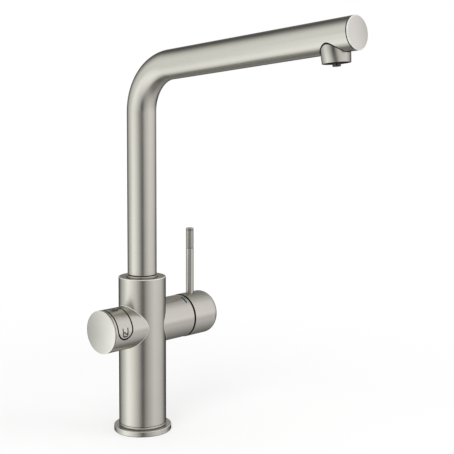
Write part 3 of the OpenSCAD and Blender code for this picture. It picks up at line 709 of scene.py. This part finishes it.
# Spout
def bearing_ring():
    """The ring that the spout turns on, with a line of painted shade over it."""
    rim_z = SLIDE_TOP - 0.5
    line_r = SPOUT_R - 0.5
    ring = Shape()
    lathe(ring, UP, [(BODY_TOP, ROOF_BORE, 0), (BODY_TOP, SLIDE_R, 0.1), (rim_z, SLIDE_R, 0.35),
                     (rim_z, line_r, 0)])
    dark(lathe, ring, UP, [(rim_z, line_r, 0), (SLIDE_TOP, line_r, 0), (SLIDE_TOP, SLIDE_BORE, 0)])
    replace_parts(ring.piece("bearing_ring", "tap_body", "slide_ring", BRUSHED, GAP_SHADE), "slide_ring")


def bend(tube, angles, steps=48):
    """The spout's bend between the riser and the arm."""
    rows = []
    for k in range(steps + 1):
        b = BEND_TURN * k / steps
        here = Axis((0, -BEND_R * (1 - cos(b)), BEND_Z + BEND_R * sin(b)),
                    (0, -sin(b), cos(b)), (0, cos(b), sin(b)))
        rows.append([(here.at(0, t, SPOUT_R), here.out(t), (t * SPOUT_R, BEND_Z + BEND_R * b), 0.0)
                     for t in full_turn(angles)])
    tube.rows(rows)


def spout_pipe():
    """Riser, bend and arm, open where the outlet goes in; the outlet hole's wall and the inside of the arm's
    end are painted shade.
    """
    foot_z = SPOUT_Z + 1
    side_s = ARM_END - 1
    end_s = ARM_END - 0.4
    rim_r = SPOUT_R - 0.2
    mouth = Hole(ARM, OUTLET_S, pi, OUTLET_R + 0.55, SPOUT_R, 0.08, n=24)
    angles = merged(circle(96), mouth.angles())
    tube = Shape()
    lathe(tube, RISER, [(SPOUT_Z + 4, SPOUT_BORE, 0), (SPOUT_Z, SPOUT_BORE, 0), (SPOUT_Z, SPOUT_R, 0.4),
                        (foot_z, SPOUT_R, 0)], angles)
    shell(tube, RISER, SPOUT_R, angles, foot_z, BEND_Z)
    bend(tube, angles)
    shell(tube, ARM, SPOUT_R, angles, BEND_S, side_s, [mouth])
    lathe(tube, ARM, [(side_s, SPOUT_R, 0), (end_s, SPOUT_R, 0.08), (end_s, rim_r, 0)], angles)
    dark(lathe, tube, ARM, [(end_s, rim_r, 0), (end_s, SPOUT_BORE, 0), (ARM_END - 4, SPOUT_BORE, 0)], angles)
    cut(tube, mouth, mouth.w + 0.05)
    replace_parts(tube.piece("spout_pipe", "spout", "spout_tube", BRUSHED, GAP_SHADE), "spout_tube")


def spout_disc():
    """The crowned disc that closes the arm; its plug and back are painted shade."""
    back_s = ARM_LEN - END_DISC
    back_r = SPOUT_R - 0.1
    plug_r = SPOUT_BORE - 0.4
    disc = Shape()
    dark(lathe, disc, ARM, [(ARM_END - 4, plug_r, 0), (back_s, plug_r, 0), (back_s, back_r, 0)])
    lathe(disc, ARM, [(back_s, back_r, 0), (back_s + 0.1, SPOUT_R, 0.05),
                      *crown(ARM_LEN - 0.3, ARM_LEN, SPOUT_R, 0.8)])
    swell(disc, ARM.along, 3.0)
    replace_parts(disc.piece("spout_disc", "spout", "spout_end_cap", FACE, GAP_SHADE), "spout_end_cap")


def seam(t):
    """Where the sleeve leaves the arm, with the fine line of painted shade around it."""
    return sqrt(SPOUT_R ** 2 - (OUTLET_R * sin(t)) ** 2) + 0.35


def sleeve_r(s):
    """Radius of the sleeve, which draws in from 8 mm off the arm's axis to its mouth."""
    straight = 8
    return OUTLET_R - (OUTLET_R - MOUTH_R) * (max(0.0, s - straight) / (MOUTH_S - straight)) ** 2


def sleeve_side(outlet, angles, end_s, steps=12):
    """The sleeve's visible side, from the arm to the lip."""
    h = 0.01
    rows = []
    for k in range(steps + 1):
        row = []
        for t in full_turn(angles):
            s = seam(t) + (end_s - seam(t)) * k / steps
            slope = (sleeve_r(s + h) - sleeve_r(s - h)) / (2 * h)
            n = OUTLET.out(t) - OUTLET.along * slope
            row.append((OUTLET.at(s, t, sleeve_r(s)), n, (t * OUTLET_R, s), 0.0))
        rows.append(row)
    outlet.rows(rows)


def outlet_sleeve():
    """The outlet's sleeve under the arm, with painted shade round its root and on its underside."""
    root_s = 4.8
    lip_s = MOUTH_S - 0.15
    lip_r = MOUTH_R - 0.15
    angles = circle(128)
    outlet = Shape()
    dark(lathe, outlet, OUTLET, [(root_s, OUTLET_R + 0.65, 0), (root_s, OUTLET_R, 0)])
    dark(shell, outlet, OUTLET, OUTLET_R, angles, root_s, seam)
    sleeve_side(outlet, angles, lip_s)
    lathe(outlet, OUTLET, [(lip_s, sleeve_r(lip_s), 0), (MOUTH_S, MOUTH_R, 0.1), (MOUTH_S, lip_r, 0)],
          angles)
    dark(lathe, outlet, OUTLET, [(MOUTH_S, lip_r, 0), (MOUTH_S, INSERT_R, 0.2),
                                 (MOUTH_S - 0.7, INSERT_R, 0)], angles)
    # The studio was near the real tap and is far away here, so the sleeve's mirror image is turned
    turn = Matrix.Rotation(SLEEVE_TURN, 3, ARM.u)
    outlet.normals = [turn @ n for n in outlet.normals]
    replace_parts(outlet.piece("outlet_sleeve", "spout", "outlet_housing", FINE, GAP_SHADE), "outlet_housing")


def filter_jet():
    """The nozzle for filtered water in the outlet's middle."""
    root_s = 20.9
    jet = Shape()
    lathe(jet, OUTLET, [(root_s, NOZZLE_R + 0.6, 0), (root_s + 0.05, NOZZLE_R, 0.05),
                        (NOZZLE_END, NOZZLE_R, 0.35), (NOZZLE_END, NOZZLE_BORE, 0.2),
                        (NOZZLE_END - 9, NOZZLE_BORE, 0)], circle(64))
    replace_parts(jet.piece("filter_jet", "spout", "filter_nozzle", DARK), "filter_nozzle")


# Mixing lever
def lever_bell():
    """The lever's cap, with a recess for the rod above and the screw's hole below; their walls, the cap's
    inside and its inner rim are painted shade.
    """
    rod_hole = Hole(SIDE, ROD_X, 0.0, ROD_R + 0.8, CAP_R, 0.5, n=12)
    screw_hole = Hole(SIDE, ROD_X, pi, CAP_HOLE_R, CAP_R, 0.2, n=8)
    angles = merged(circle(112), rod_hole.angles(), screw_hole.angles())
    inner_r = CAP_R - CAP_WALL
    rim_s = CAP_X + CAP_RIM_IN
    rim_r = CAP_R - CAP_RIM
    lip_s = CAP_X + 0.35
    lip_r = CAP_R - 0.08
    side_s = CAP_X + 1
    round_s = CAP_END - CAP_ROUND - 2
    cap = Shape()
    dark(lathe, cap, SIDE, [(CAP_X + 14, inner_r, 0), (rim_s, inner_r, 0), (rim_s, rim_r, 0),
                            (lip_s, rim_r, 0), (lip_s, lip_r, 0)], angles)
    lathe(cap, SIDE, [(lip_s, lip_r, 0), (lip_s, CAP_R, 0.06), (side_s, CAP_R, 0)], angles)
    shell(cap, SIDE, CAP_R, angles, side_s, round_s, [rod_hole, screw_hole])
    lathe(cap, SIDE, [(round_s, CAP_R, 0), (CAP_END, CAP_R, CAP_ROUND), (CAP_END, CAP_R - CAP_ROUND - 2, 0),
                      (CAP_END, 0, 0)], angles, steps=16)
    cut(cap, rod_hole, CAP_R - ROD_SUNK)
    cut(cap, screw_hole, CAP_R - 3)
    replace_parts(cap.piece("lever_bell", "lever", "lever_cap", BRUSHED, GAP_SHADE), "lever_cap")


def lever_stick():
    """The lever's rod, with a line of painted shade before the grip."""
    line_s = GRIP_FOOT - 0.5
    rod = Shape()
    lathe(rod, ROD, [(ROD_FOOT, ROD_CORE, 0), (ROD_FOOT, ROD_R, 0.1), (line_s, ROD_R, 0.1),
                     (line_s, GRIP_BORE, 0)], circle(64))
    dark(lathe, rod, ROD, [(line_s, GRIP_BORE, 0), (GRIP_FOOT + 0.1, GRIP_BORE, 0)], circle(64))
    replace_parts(rod.piece("lever_stick", "lever", "lever_rod", FINE, GAP_SHADE), "lever_rod")


def knurl(s, t):
    """Radius of the knurled grip: two crossing sets of V grooves, faded out at both ends."""
    first = (t * KNURL_STARTS / TAU + s / KNURL_PITCH) % 1
    second = (t * KNURL_STARTS / TAU - s / KNURL_PITCH) % 1
    rise = min(abs(2 * first - 1), abs(2 * second - 1))
    fade = min(1.0, max(0.0, (s - GRIP_FOOT - 0.4) / 0.5), max(0.0, (GRIP_HEAD - 0.3 - s) / 0.5))
    return GRIP_R - KNURL_DEPTH * (1 - min(1.0, rise * 1.6)) * fade


def knurled_side(grip, angles, start_s, steps=110):
    """The grip's side, with normals that follow the grooves."""
    h, q = 0.04, 0.012
    rows = []
    for k in range(steps + 1):
        s = start_s + (GRIP_HEAD - start_s) * k / steps
        row = []
        for t in full_turn(angles):
            slope_s = (knurl(s + h, t) - knurl(s - h, t)) / (2 * h)
            slope_t = (knurl(s, t + q) - knurl(s, t - q)) / (2 * q * ROD_R)
            n = ROD.out(t) - ROD.along * slope_s - ROD.around(t) * slope_t
            row.append((ROD.at(s, t, knurl(s, t)), n, (t * ROD_R, s), 0.0))
        rows.append(row)
    grip.rows(rows)


def lever_knurl():
    """The knurled grip, with a groove in painted shade under its crowned head."""
    start_s = GRIP_FOOT + 0.15
    groove_s = GRIP_HEAD + 0.45
    groove_r = ROD_R - 0.35
    angles = circle(KNURL_STARTS * 6)
    grip = Shape()
    knurled_side(grip, angles, start_s)
    lathe(grip, ROD, [(GRIP_FOOT, GRIP_BORE, 0), (GRIP_FOOT, GRIP_R, 0.1), (start_s, GRIP_R, 0)], angles)
    dark(lathe, grip, ROD, [(GRIP_HEAD, GRIP_R, 0), (GRIP_HEAD + 0.2, groove_r, 0), (groove_s, groove_r, 0)],
         angles)
    lathe(grip, ROD, [(groove_s, groove_r, 0), (groove_s + 0.2, GRIP_R, 0.1),
                      *crown(ROD_TOP - 0.12, ROD_TOP, GRIP_R, 0.45)], angles)
    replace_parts(grip.piece("lever_knurl", "lever", "lever_grip", GRIP, GAP_SHADE), "lever_grip")


# Filter control
def rocker_plate():
    """The rocker button: face, back, fine round edge with a painted highlight, and sides in painted shade.
    """
    edge = 0.06
    half_w = ROCKER_W / 2 - 0.4
    back_r = PLATE_R - ROCKER_T
    face = Hole(SIDE, ROCKER_X, ROCKER_MID, half_w - edge, PLATE_R, 0.0, ROCKER_HALF)
    angles = sorted(set(round(t, 7) for t in face.angles()))
    plate = Shape()
    for t0, t1 in zip(angles, angles[1:]):
        if t1 - t0 < SAME:
            continue
        a0, a1 = face.span(t0) or (ROCKER_X, ROCKER_X)
        b0, b1 = face.span(t1) or (ROCKER_X, ROCKER_X)
        for r, way in ((PLATE_R, 1), (back_r, -1)):
            plate.poly([(SIDE.at(s, t, r), SIDE.out(t) * way, (t * PLATE_R, s), 0.0)
                        for s, t in ((a0, t0), (a1, t0), (b1, t1), (b0, t1))])
    face.rim(plate, rounding(half_w, PLATE_R, edge, 1))
    dark(face.rim, plate, [(half_w, PLATE_R - edge, 1, 0), (half_w, back_r, 1, 0)])
    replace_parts(plate.piece("rocker_plate", "rocker", "rocker_button", BRUSHED, GAP_SHADE), "rocker_button")


def ink(x, y, mid):
    """A corner of an icon's line, x mm along X and y mm around from the icon's middle."""
    t = mid - y / PLATE_R
    return SIDE.at(ROCKER_X + x, t, PLATE_R + INK_T), SIDE.out(t), (t * PLATE_R, x), 0.0


def spaced(ends, ring):
    """Points along a line, close enough to follow the rocker's curve."""
    points = []
    for (x0, y0), (x1, y1) in zip(ends, [*ends[1:], ends[0]] if ring else ends[1:]):
        steps = max(1, round(hypot(x1 - x0, y1 - y0) / 0.5))
        points += [(x0 + (x1 - x0) * k / steps, y0 + (y1 - y0) * k / steps) for k in range(steps)]
    return points if ring else [*points, ends[-1]]


def stroke(shape, mid, ends, width, ring=False):
    """A line of ink through points of (mm along X, mm around), as a ring or with round ends."""
    points = spaced(ends, ring)
    last = len(points) - 1
    left, right = [], []
    for i, (x, y) in enumerate(points):
        x0, y0 = points[i - 1] if ring else points[max(0, i - 1)]
        x1, y1 = points[(i + 1) % len(points)] if ring else points[min(last, i + 1)]
        size = hypot(x1 - x0, y1 - y0) or 1.0
        nx, ny = (y0 - y1) / size * width / 2, (x1 - x0) / size * width / 2
        left.append((x + nx, y + ny))
        right.append((x - nx, y - ny))
    pairs = list(zip(left, right))
    if ring:
        pairs.append(pairs[0])
    for (a, b), (c, d) in zip(pairs, pairs[1:]):
        shape.poly([ink(*a, mid), ink(*b, mid), ink(*d, mid), ink(*c, mid)])
    if ring:
        return
    for (x, y), (side_x, side_y), way in ((points[0], left[0], 1), (points[-1], left[-1], -1)):
        start = atan2(side_y - y, side_x - x)
        turns = [start + way * pi * k / 6 for k in range(7)]
        shape.poly([ink(x + width / 2 * cos(t), y + width / 2 * sin(t), mid) for t in turns])


def arc(x, y, r, first, last, n):
    """Points on an arc, with its angles in degrees."""
    turns = [radians(first + (last - first) * k / n) for k in range(n + 1)]
    return [(x + r * cos(t), y + r * sin(t)) for t in turns]


def rocker_icons():
    """Two plain drawings of a glass: still water with a wave, sparkling water with bubbles."""
    still, sparkling = radians(85.5), radians(5.5)
    glass = [(-3.0, 3.2), (-2.6, -3.2), *arc(-1.4, -3.3, 1.2, 180, 270, 5),
             *arc(1.4, -3.3, 1.2, 270, 360, 5), (2.6, -3.2), (3.0, 3.2)]
    wave = [(-2.3, -0.6), *arc(-1.2, -1.2, 0.9, 130, 40, 5), *arc(1.0, -1.4, 1.0, 220, 300, 5), (2.4, -1.1)]
    icons = Shape()
    stroke(icons, still, glass, 1.2)
    stroke(icons, still, wave, 0.95)
    stroke(icons, sparkling, glass, 1.2)
    for x, y, r in ((-0.7, -2.0, 0.75), (0.75, -0.2, 0.62), (-0.5, 1.7, 0.52)):
        stroke(icons, sparkling, arc(x, y, r, 0, 360, 16)[:-1], 0.68, ring=True)
    icons.piece("rocker_icons", "rocker", "rocker_button", INK)


def light_band():
    """The light ring in the seam before the control's end disc."""
    end_s = -CASTING_END - LIGHT_W
    outer = CONTROL_R - 0.45
    glow = Shape()
    lathe(glow, SIDE, [(end_s, LIGHT_BORE, 0), (end_s, outer, 0.1), (-CASTING_END, outer, 0.1),
                       (-CASTING_END, LIGHT_BORE, 0)], circle(112))
    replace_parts(glow.piece("light_band", "tap_body", "light_ring", SMOKE), "light_ring")


def control_disc():
    """The control's crowned end disc, with a soft bevel that carries a painted highlight; its plug and back
    are painted shade.
    """
    back_s = CONTROL_END - DISC_T
    back_r = CONTROL_R - 0.1
    face_s = CONTROL_END - 0.35
    face_r = CONTROL_R - 1.3
    bevel = 0.36
    disc = Shape()
    dark(lathe, disc, CONTROL, [(back_s - 4, DISC_PLUG, 0), (back_s, DISC_PLUG, 0), (back_s, back_r, 0)],
         circle(128))
    lathe(disc, CONTROL, crown(face_s, CONTROL_END, face_r, 0), circle(128))
    swell(disc, CONTROL.along, 4.4)
    lathe(disc, CONTROL, [(back_s, back_r, 0), (back_s + 0.1, CONTROL_R, 0.05),
                          (face_s - bevel, CONTROL_R, 0.3), (face_s, face_r, 0)], circle(128))
    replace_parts(disc.piece("control_disc", "tap_body", "control_end_cap", FACE, GAP_SHADE), "control_end_cap")


foot_ring()
foot_seal()
tap_housing()
mark("cold_line", "cold_mark", 17, COLD)
mark("hot_line", "hot_mark", -19, HOT)
bearing_ring()
spout_pipe()
spout_disc()
outlet_sleeve()
filter_jet()
lever_bell()
lever_stick()
lever_knurl()
rocker_plate()
rocker_icons()
light_band()
control_disc()

# Materials of the nodes that keep the part's own mesh
FINISH = {
    BRASS: ("valve_body", "filter_coupling", "spout_stem", "cartridge_nut"),
    RUBBER: ("base_gasket", "cable_grommet", "stem_seals", "aerator_washer", "port_seals"),
    BLACK: ("gap_ring", "control_frame", "aerator_insert"),
    SCREW: ("stop_screw", "spindle", "spindle_pin", "cap_screw", "board_screws", "rocker_pin"),
    WHITE: ("filter_tube", "cartridge_base", "cartridge_shell"),
    GREY: ("cartridge_carrier",),
    CERAMIC: ("ceramic_seat_disc", "ceramic_slide_disc"),
    BOARD: ("control_board",),
    SILICONE: ("switch_pads",),
}
for material, names in FINISH.items():
    for name in names:
        for held in nodes[name].material_slots:
            held.material = material


# Camera, fitted to the photo: its place in metres, the photo's side and the focal length in pixels
CAMERA_AT = (-0.67038, -0.73591, 0.33036)
AZIMUTH, PITCH, ROLL = radians(-47.0744), radians(4.9562), radians(0.1734)
PHOTO_SIDE, FOCAL, SHIFT, SENSOR = 454, 1030.97, -0.10, 36


def add_camera():
    back = Vector((sin(AZIMUTH) * cos(PITCH), -cos(AZIMUTH) * cos(PITCH), sin(PITCH)))
    level = Vector((cos(AZIMUTH), sin(AZIMUTH), 0))
    upward = back.cross(level)
    right = level * cos(ROLL) + upward * sin(ROLL)
    over = upward * cos(ROLL) - level * sin(ROLL)
    lens = bpy.data.cameras.new("camera")
    lens.sensor_width = SENSOR
    lens.lens = FOCAL / PHOTO_SIDE * SENSOR
    lens.shift_y = SHIFT
    camera = bpy.data.objects.new("camera", lens)
    axes = Matrix((right, over, back)).transposed().to_4x4()
    camera.matrix_world = Matrix.Translation(CAMERA_AT) @ axes
    bpy.context.scene.collection.objects.link(camera)
    bpy.context.scene.camera = camera


# Brightness of the studio on rings of one height, given as the sine of its angle: stops of
# (degrees from the camera's side, level). Soft boxes left and right, a dark gap at the camera.
CAMERA_SIDE = degrees(atan2(CAMERA_AT[1], CAMERA_AT[0]))
RINGS = [
    (-1.0, [(0, 0.20)]),
    (-0.92, [(-180, 0.15), (-158, 0.15), (-130, 0.45), (-96, 0.85), (-60, 0.98), (-44, 0.92), (-22, 0.64),
             (8, 0.42), (45, 0.30), (76, 0.20), (108, 0.22), (130, 0.25), (180, 0.15)]),
    (-0.71, [(-180, 0.30), (-165, 0.25), (-155, 0.40), (-130, 0.95), (-96, 1.22), (-60, 1.18), (-44, 1.05),
             (-20, 0.80), (0, 0.45), (25, 0.50), (60, 0.60), (92, 0.50), (122, 0.45), (156, 0.38),
             (180, 0.30)]),
    (-0.45, [(-180, 0.75), (-162, 0.52), (-140, 0.50), (-116, 0.79), (-96, 0.97), (-78, 1.18), (-60, 1.10),
             (-40, 0.82), (-20, 0.58), (-1, 0.18), (17, 0.41), (38, 0.56), (58, 0.71), (84, 0.68),
             (112, 0.56), (135, 0.45), (158, 0.46), (180, 0.75)]),
    (-0.27, [(-180, 0.02), (-152, 0.06), (-140, 0.34), (-116, 0.58), (-100, 0.70), (-88, 0.96), (-78, 1.18),
             (-62, 1.08), (-50, 0.94), (-40, 0.78), (-30, 0.64), (-20, 0.44), (-10, 0.19), (-2, 0.0),
             (3, 0.02), (9, 0.17), (17, 0.34), (28, 0.43), (38, 0.54), (48, 0.64), (58, 0.74), (70, 0.72),
             (84, 0.66), (96, 0.63), (112, 0.52), (130, 0.18), (150, 0.04), (180, 0.02)]),
    (-0.12, [(-180, 0.10), (-158, 0.08), (-140, 0.34), (-116, 0.60), (-100, 0.72), (-85, 0.98), (-72, 1.22),
             (-57, 1.14), (-45, 1.02), (-28, 0.79), (-12, 0.49), (-3, 0.20), (5, 0.0), (12, 0.15),
             (19, 0.38), (32, 0.62), (48, 0.80), (64, 0.90), (83, 0.83), (107, 0.75), (140, 0.34),
             (158, 0.08), (180, 0.10)]),
    (-0.02, [(-180, 0.25), (-165, 0.12), (-152, 0.20), (-140, 0.44), (-116, 0.64), (-100, 0.76), (-84, 0.98),
             (-70, 1.20), (-55, 1.17), (-43, 1.06), (-27, 0.92), (-11, 0.68), (-1, 0.38), (9, 0.0),
             (13, 0.02), (19, 0.24), (25, 0.42), (34, 0.60), (48, 0.80), (64, 0.98), (83, 0.96),
             (107, 0.86), (140, 0.62), (158, 0.50), (180, 0.25)]),
    (0.05, [(-180, 0.45), (-168, 0.25), (-150, 0.25), (-125, 0.62), (-106, 0.80), (-96, 0.92), (-76, 0.92),
            (-58, 0.76), (-41, 0.56), (-26, 0.24), (-14, 0.03), (-7, 0.03), (4, 0.26), (17, 0.56),
            (34, 0.76), (50, 0.82), (67, 0.88), (86, 0.94), (107, 0.84), (140, 0.64), (158, 0.56),
            (180, 0.55)]),
    (0.20, [(-180, 0.85), (-171, 0.75), (-160, 0.25), (-148, 0.25), (-132, 0.60), (-118, 0.70), (-96, 0.94),
            (-76, 0.86), (-58, 0.66), (-41, 0.46), (-29, 0.18), (-20, 0.03), (-13, 0.03), (-3, 0.30),
            (14, 0.70), (34, 0.88), (50, 0.86), (67, 0.88), (90, 0.90), (115, 0.72), (140, 0.72),
            (157, 0.80), (180, 0.85)]),
    (0.66, [(-180, 0.14), (-160, 0.04), (-134, 0.25), (-115, 0.61), (-100, 0.78), (-80, 0.94), (-50, 0.88),
            (-20, 0.62), (0, 0.50), (20, 0.60), (60, 0.88), (90, 0.90), (108, 0.80), (128, 0.66),
            (156, 0.36), (180, 0.14)]),
    (1.0, [(0, 0.35)]),
]
TINTS = [(-180, (1.0, 0.99, 0.97)), (-90, (1.0, 1.0, 0.985)), (0, (1.0, 0.98, 0.96)),
         (90, (1.0, 0.965, 0.985)), (180, (1.0, 0.99, 0.97))]


def studio():
    """A node group: colour of the studio in a direction."""
    group = bpy.data.node_groups.new("studio", "ShaderNodeTree")
    group.interface.new_socket("Direction", in_out="INPUT", socket_type="NodeSocketVector")
    group.interface.new_socket("Level", in_out="OUTPUT", socket_type="NodeSocketColor")
    start = group.nodes.new("NodeGroupInput")
    finish = group.nodes.new("NodeGroupOutput")
    split = put(group, "SeparateXYZ", start)
    angle = maths(group, "ARCTAN2", split.outputs["Y"], split.outputs["X"])
    part = maths(group, "FRACT", maths(group, "MULTIPLY_ADD", angle, 1 / TAU, 0.5 - CAMERA_SIDE / 360))
    level, below = None, None
    for z, stops in RINGS:
        ring = ramp(group, part, [((a + 180) / 360, v) for a, v in stops])
        if level is None:
            level = ring
        else:
            step = put(group, "MapRange", split.outputs["Z"], From_Min=below, From_Max=z)
            level = mix_colours(group, "MIX", step, level, ring)
        below = z
    tint = ramp(group, part, [((a + 180) / 360, c) for a, c in TINTS])
    feed(group, finish.inputs[0], mix_colours(group, "MULTIPLY", 1.0, level, tint))
    return group


def add_world():
    """White to the camera, the studio to mirrored rays and an even light to all others."""
    world = bpy.data.worlds.new("studio_world")
    bpy.context.scene.world = world
    tree = empty_tree(world)
    path = put(tree, "LightPath")
    around = put(tree, "Group")
    around.node_tree = studio()
    feed(tree, around.inputs[0], put(tree, "TexCoord").outputs["Generated"])
    even = put(tree, "Background", Color=(1, 1, 1, 1), Strength=0.75)
    seen = put(tree, "Background", Color=(1, 1, 1, 1), Strength=1.0)
    mirror = put(tree, "Background", Color=around, Strength=1.0)
    mirrored = maths(tree, "MAXIMUM", path.outputs["Is Glossy Ray"], path.outputs["Is Transmission Ray"])
    direct = put(tree, "MixShader", path.outputs["Is Camera Ray"], even, seen)
    put(tree, "OutputWorld", put(tree, "MixShader", mirrored, direct, mirror))


def floor_material():
    """Pale ground near the tap that fades to white, so that only the tap's shadow is seen."""
    pale = bpy.data.materials.new("floor_pale")
    tree = empty_tree(pale)
    matt = put(tree, "BsdfDiffuse", Color=(0.92, 0.92, 0.915, 1))
    white = put(tree, "Emission", Color=(1, 1, 1, 1), Strength=1.0)
    distance = put(tree, "VectorMath")
    distance.operation = "LENGTH"
    feed(tree, distance.inputs[0], put(tree, "NewGeometry").outputs["Position"])
    near = put(tree, "MapRange", distance.outputs["Value"], From_Min=0.12, From_Max=0.6, To_Min=0.45,
               To_Max=0.0)
    near.interpolation_type = "SMOOTHSTEP"
    ground = put(tree, "MixShader", near, white, matt)
    shown = put(tree, "MixShader", put(tree, "LightPath").outputs["Is Camera Ray"], matt, ground)
    put(tree, "OutputMaterial", shown)
    return pale


def add_floor():
    """A round floor, in metres, that metal doesn't mirror."""
    radius, corners = 3, 64
    mesh = bpy.data.meshes.new("floor")
    mesh.from_pydata([(radius * cos(t), radius * sin(t), 0) for t in circle(corners)],
                     [], [list(range(corners))])
    mesh.materials.append(floor_material())
    floor = bpy.data.objects.new("floor", mesh)
    floor.visible_glossy = False
    bpy.context.scene.collection.objects.link(floor)


def lamp(name, place, size, power):
    """A soft box for what isn't metal: the metal mirrors the studio alone."""
    aim = Vector((0, -0.08, 0.18))
    data = bpy.data.lights.new(name, "AREA")
    data.size = size
    data.energy = power
    ob = bpy.data.objects.new(name, data)
    ob.location = place
    ob.rotation_mode = "QUATERNION"
    ob.rotation_quaternion = (Vector(place) - aim).to_track_quat("Z", "Y")
    ob.visible_glossy = False
    bpy.context.scene.collection.objects.link(ob)


add_camera()
add_world()
add_floor()
lamp("key", (-1.3, -0.7, 1.5), size=1.2, power=16)
lamp("fill", (1.0, -1.3, 0.9), size=1.2, power=8)

bpy.context.scene.view_settings.view_transform = "Standard"
bpy.context.view_layer.update()
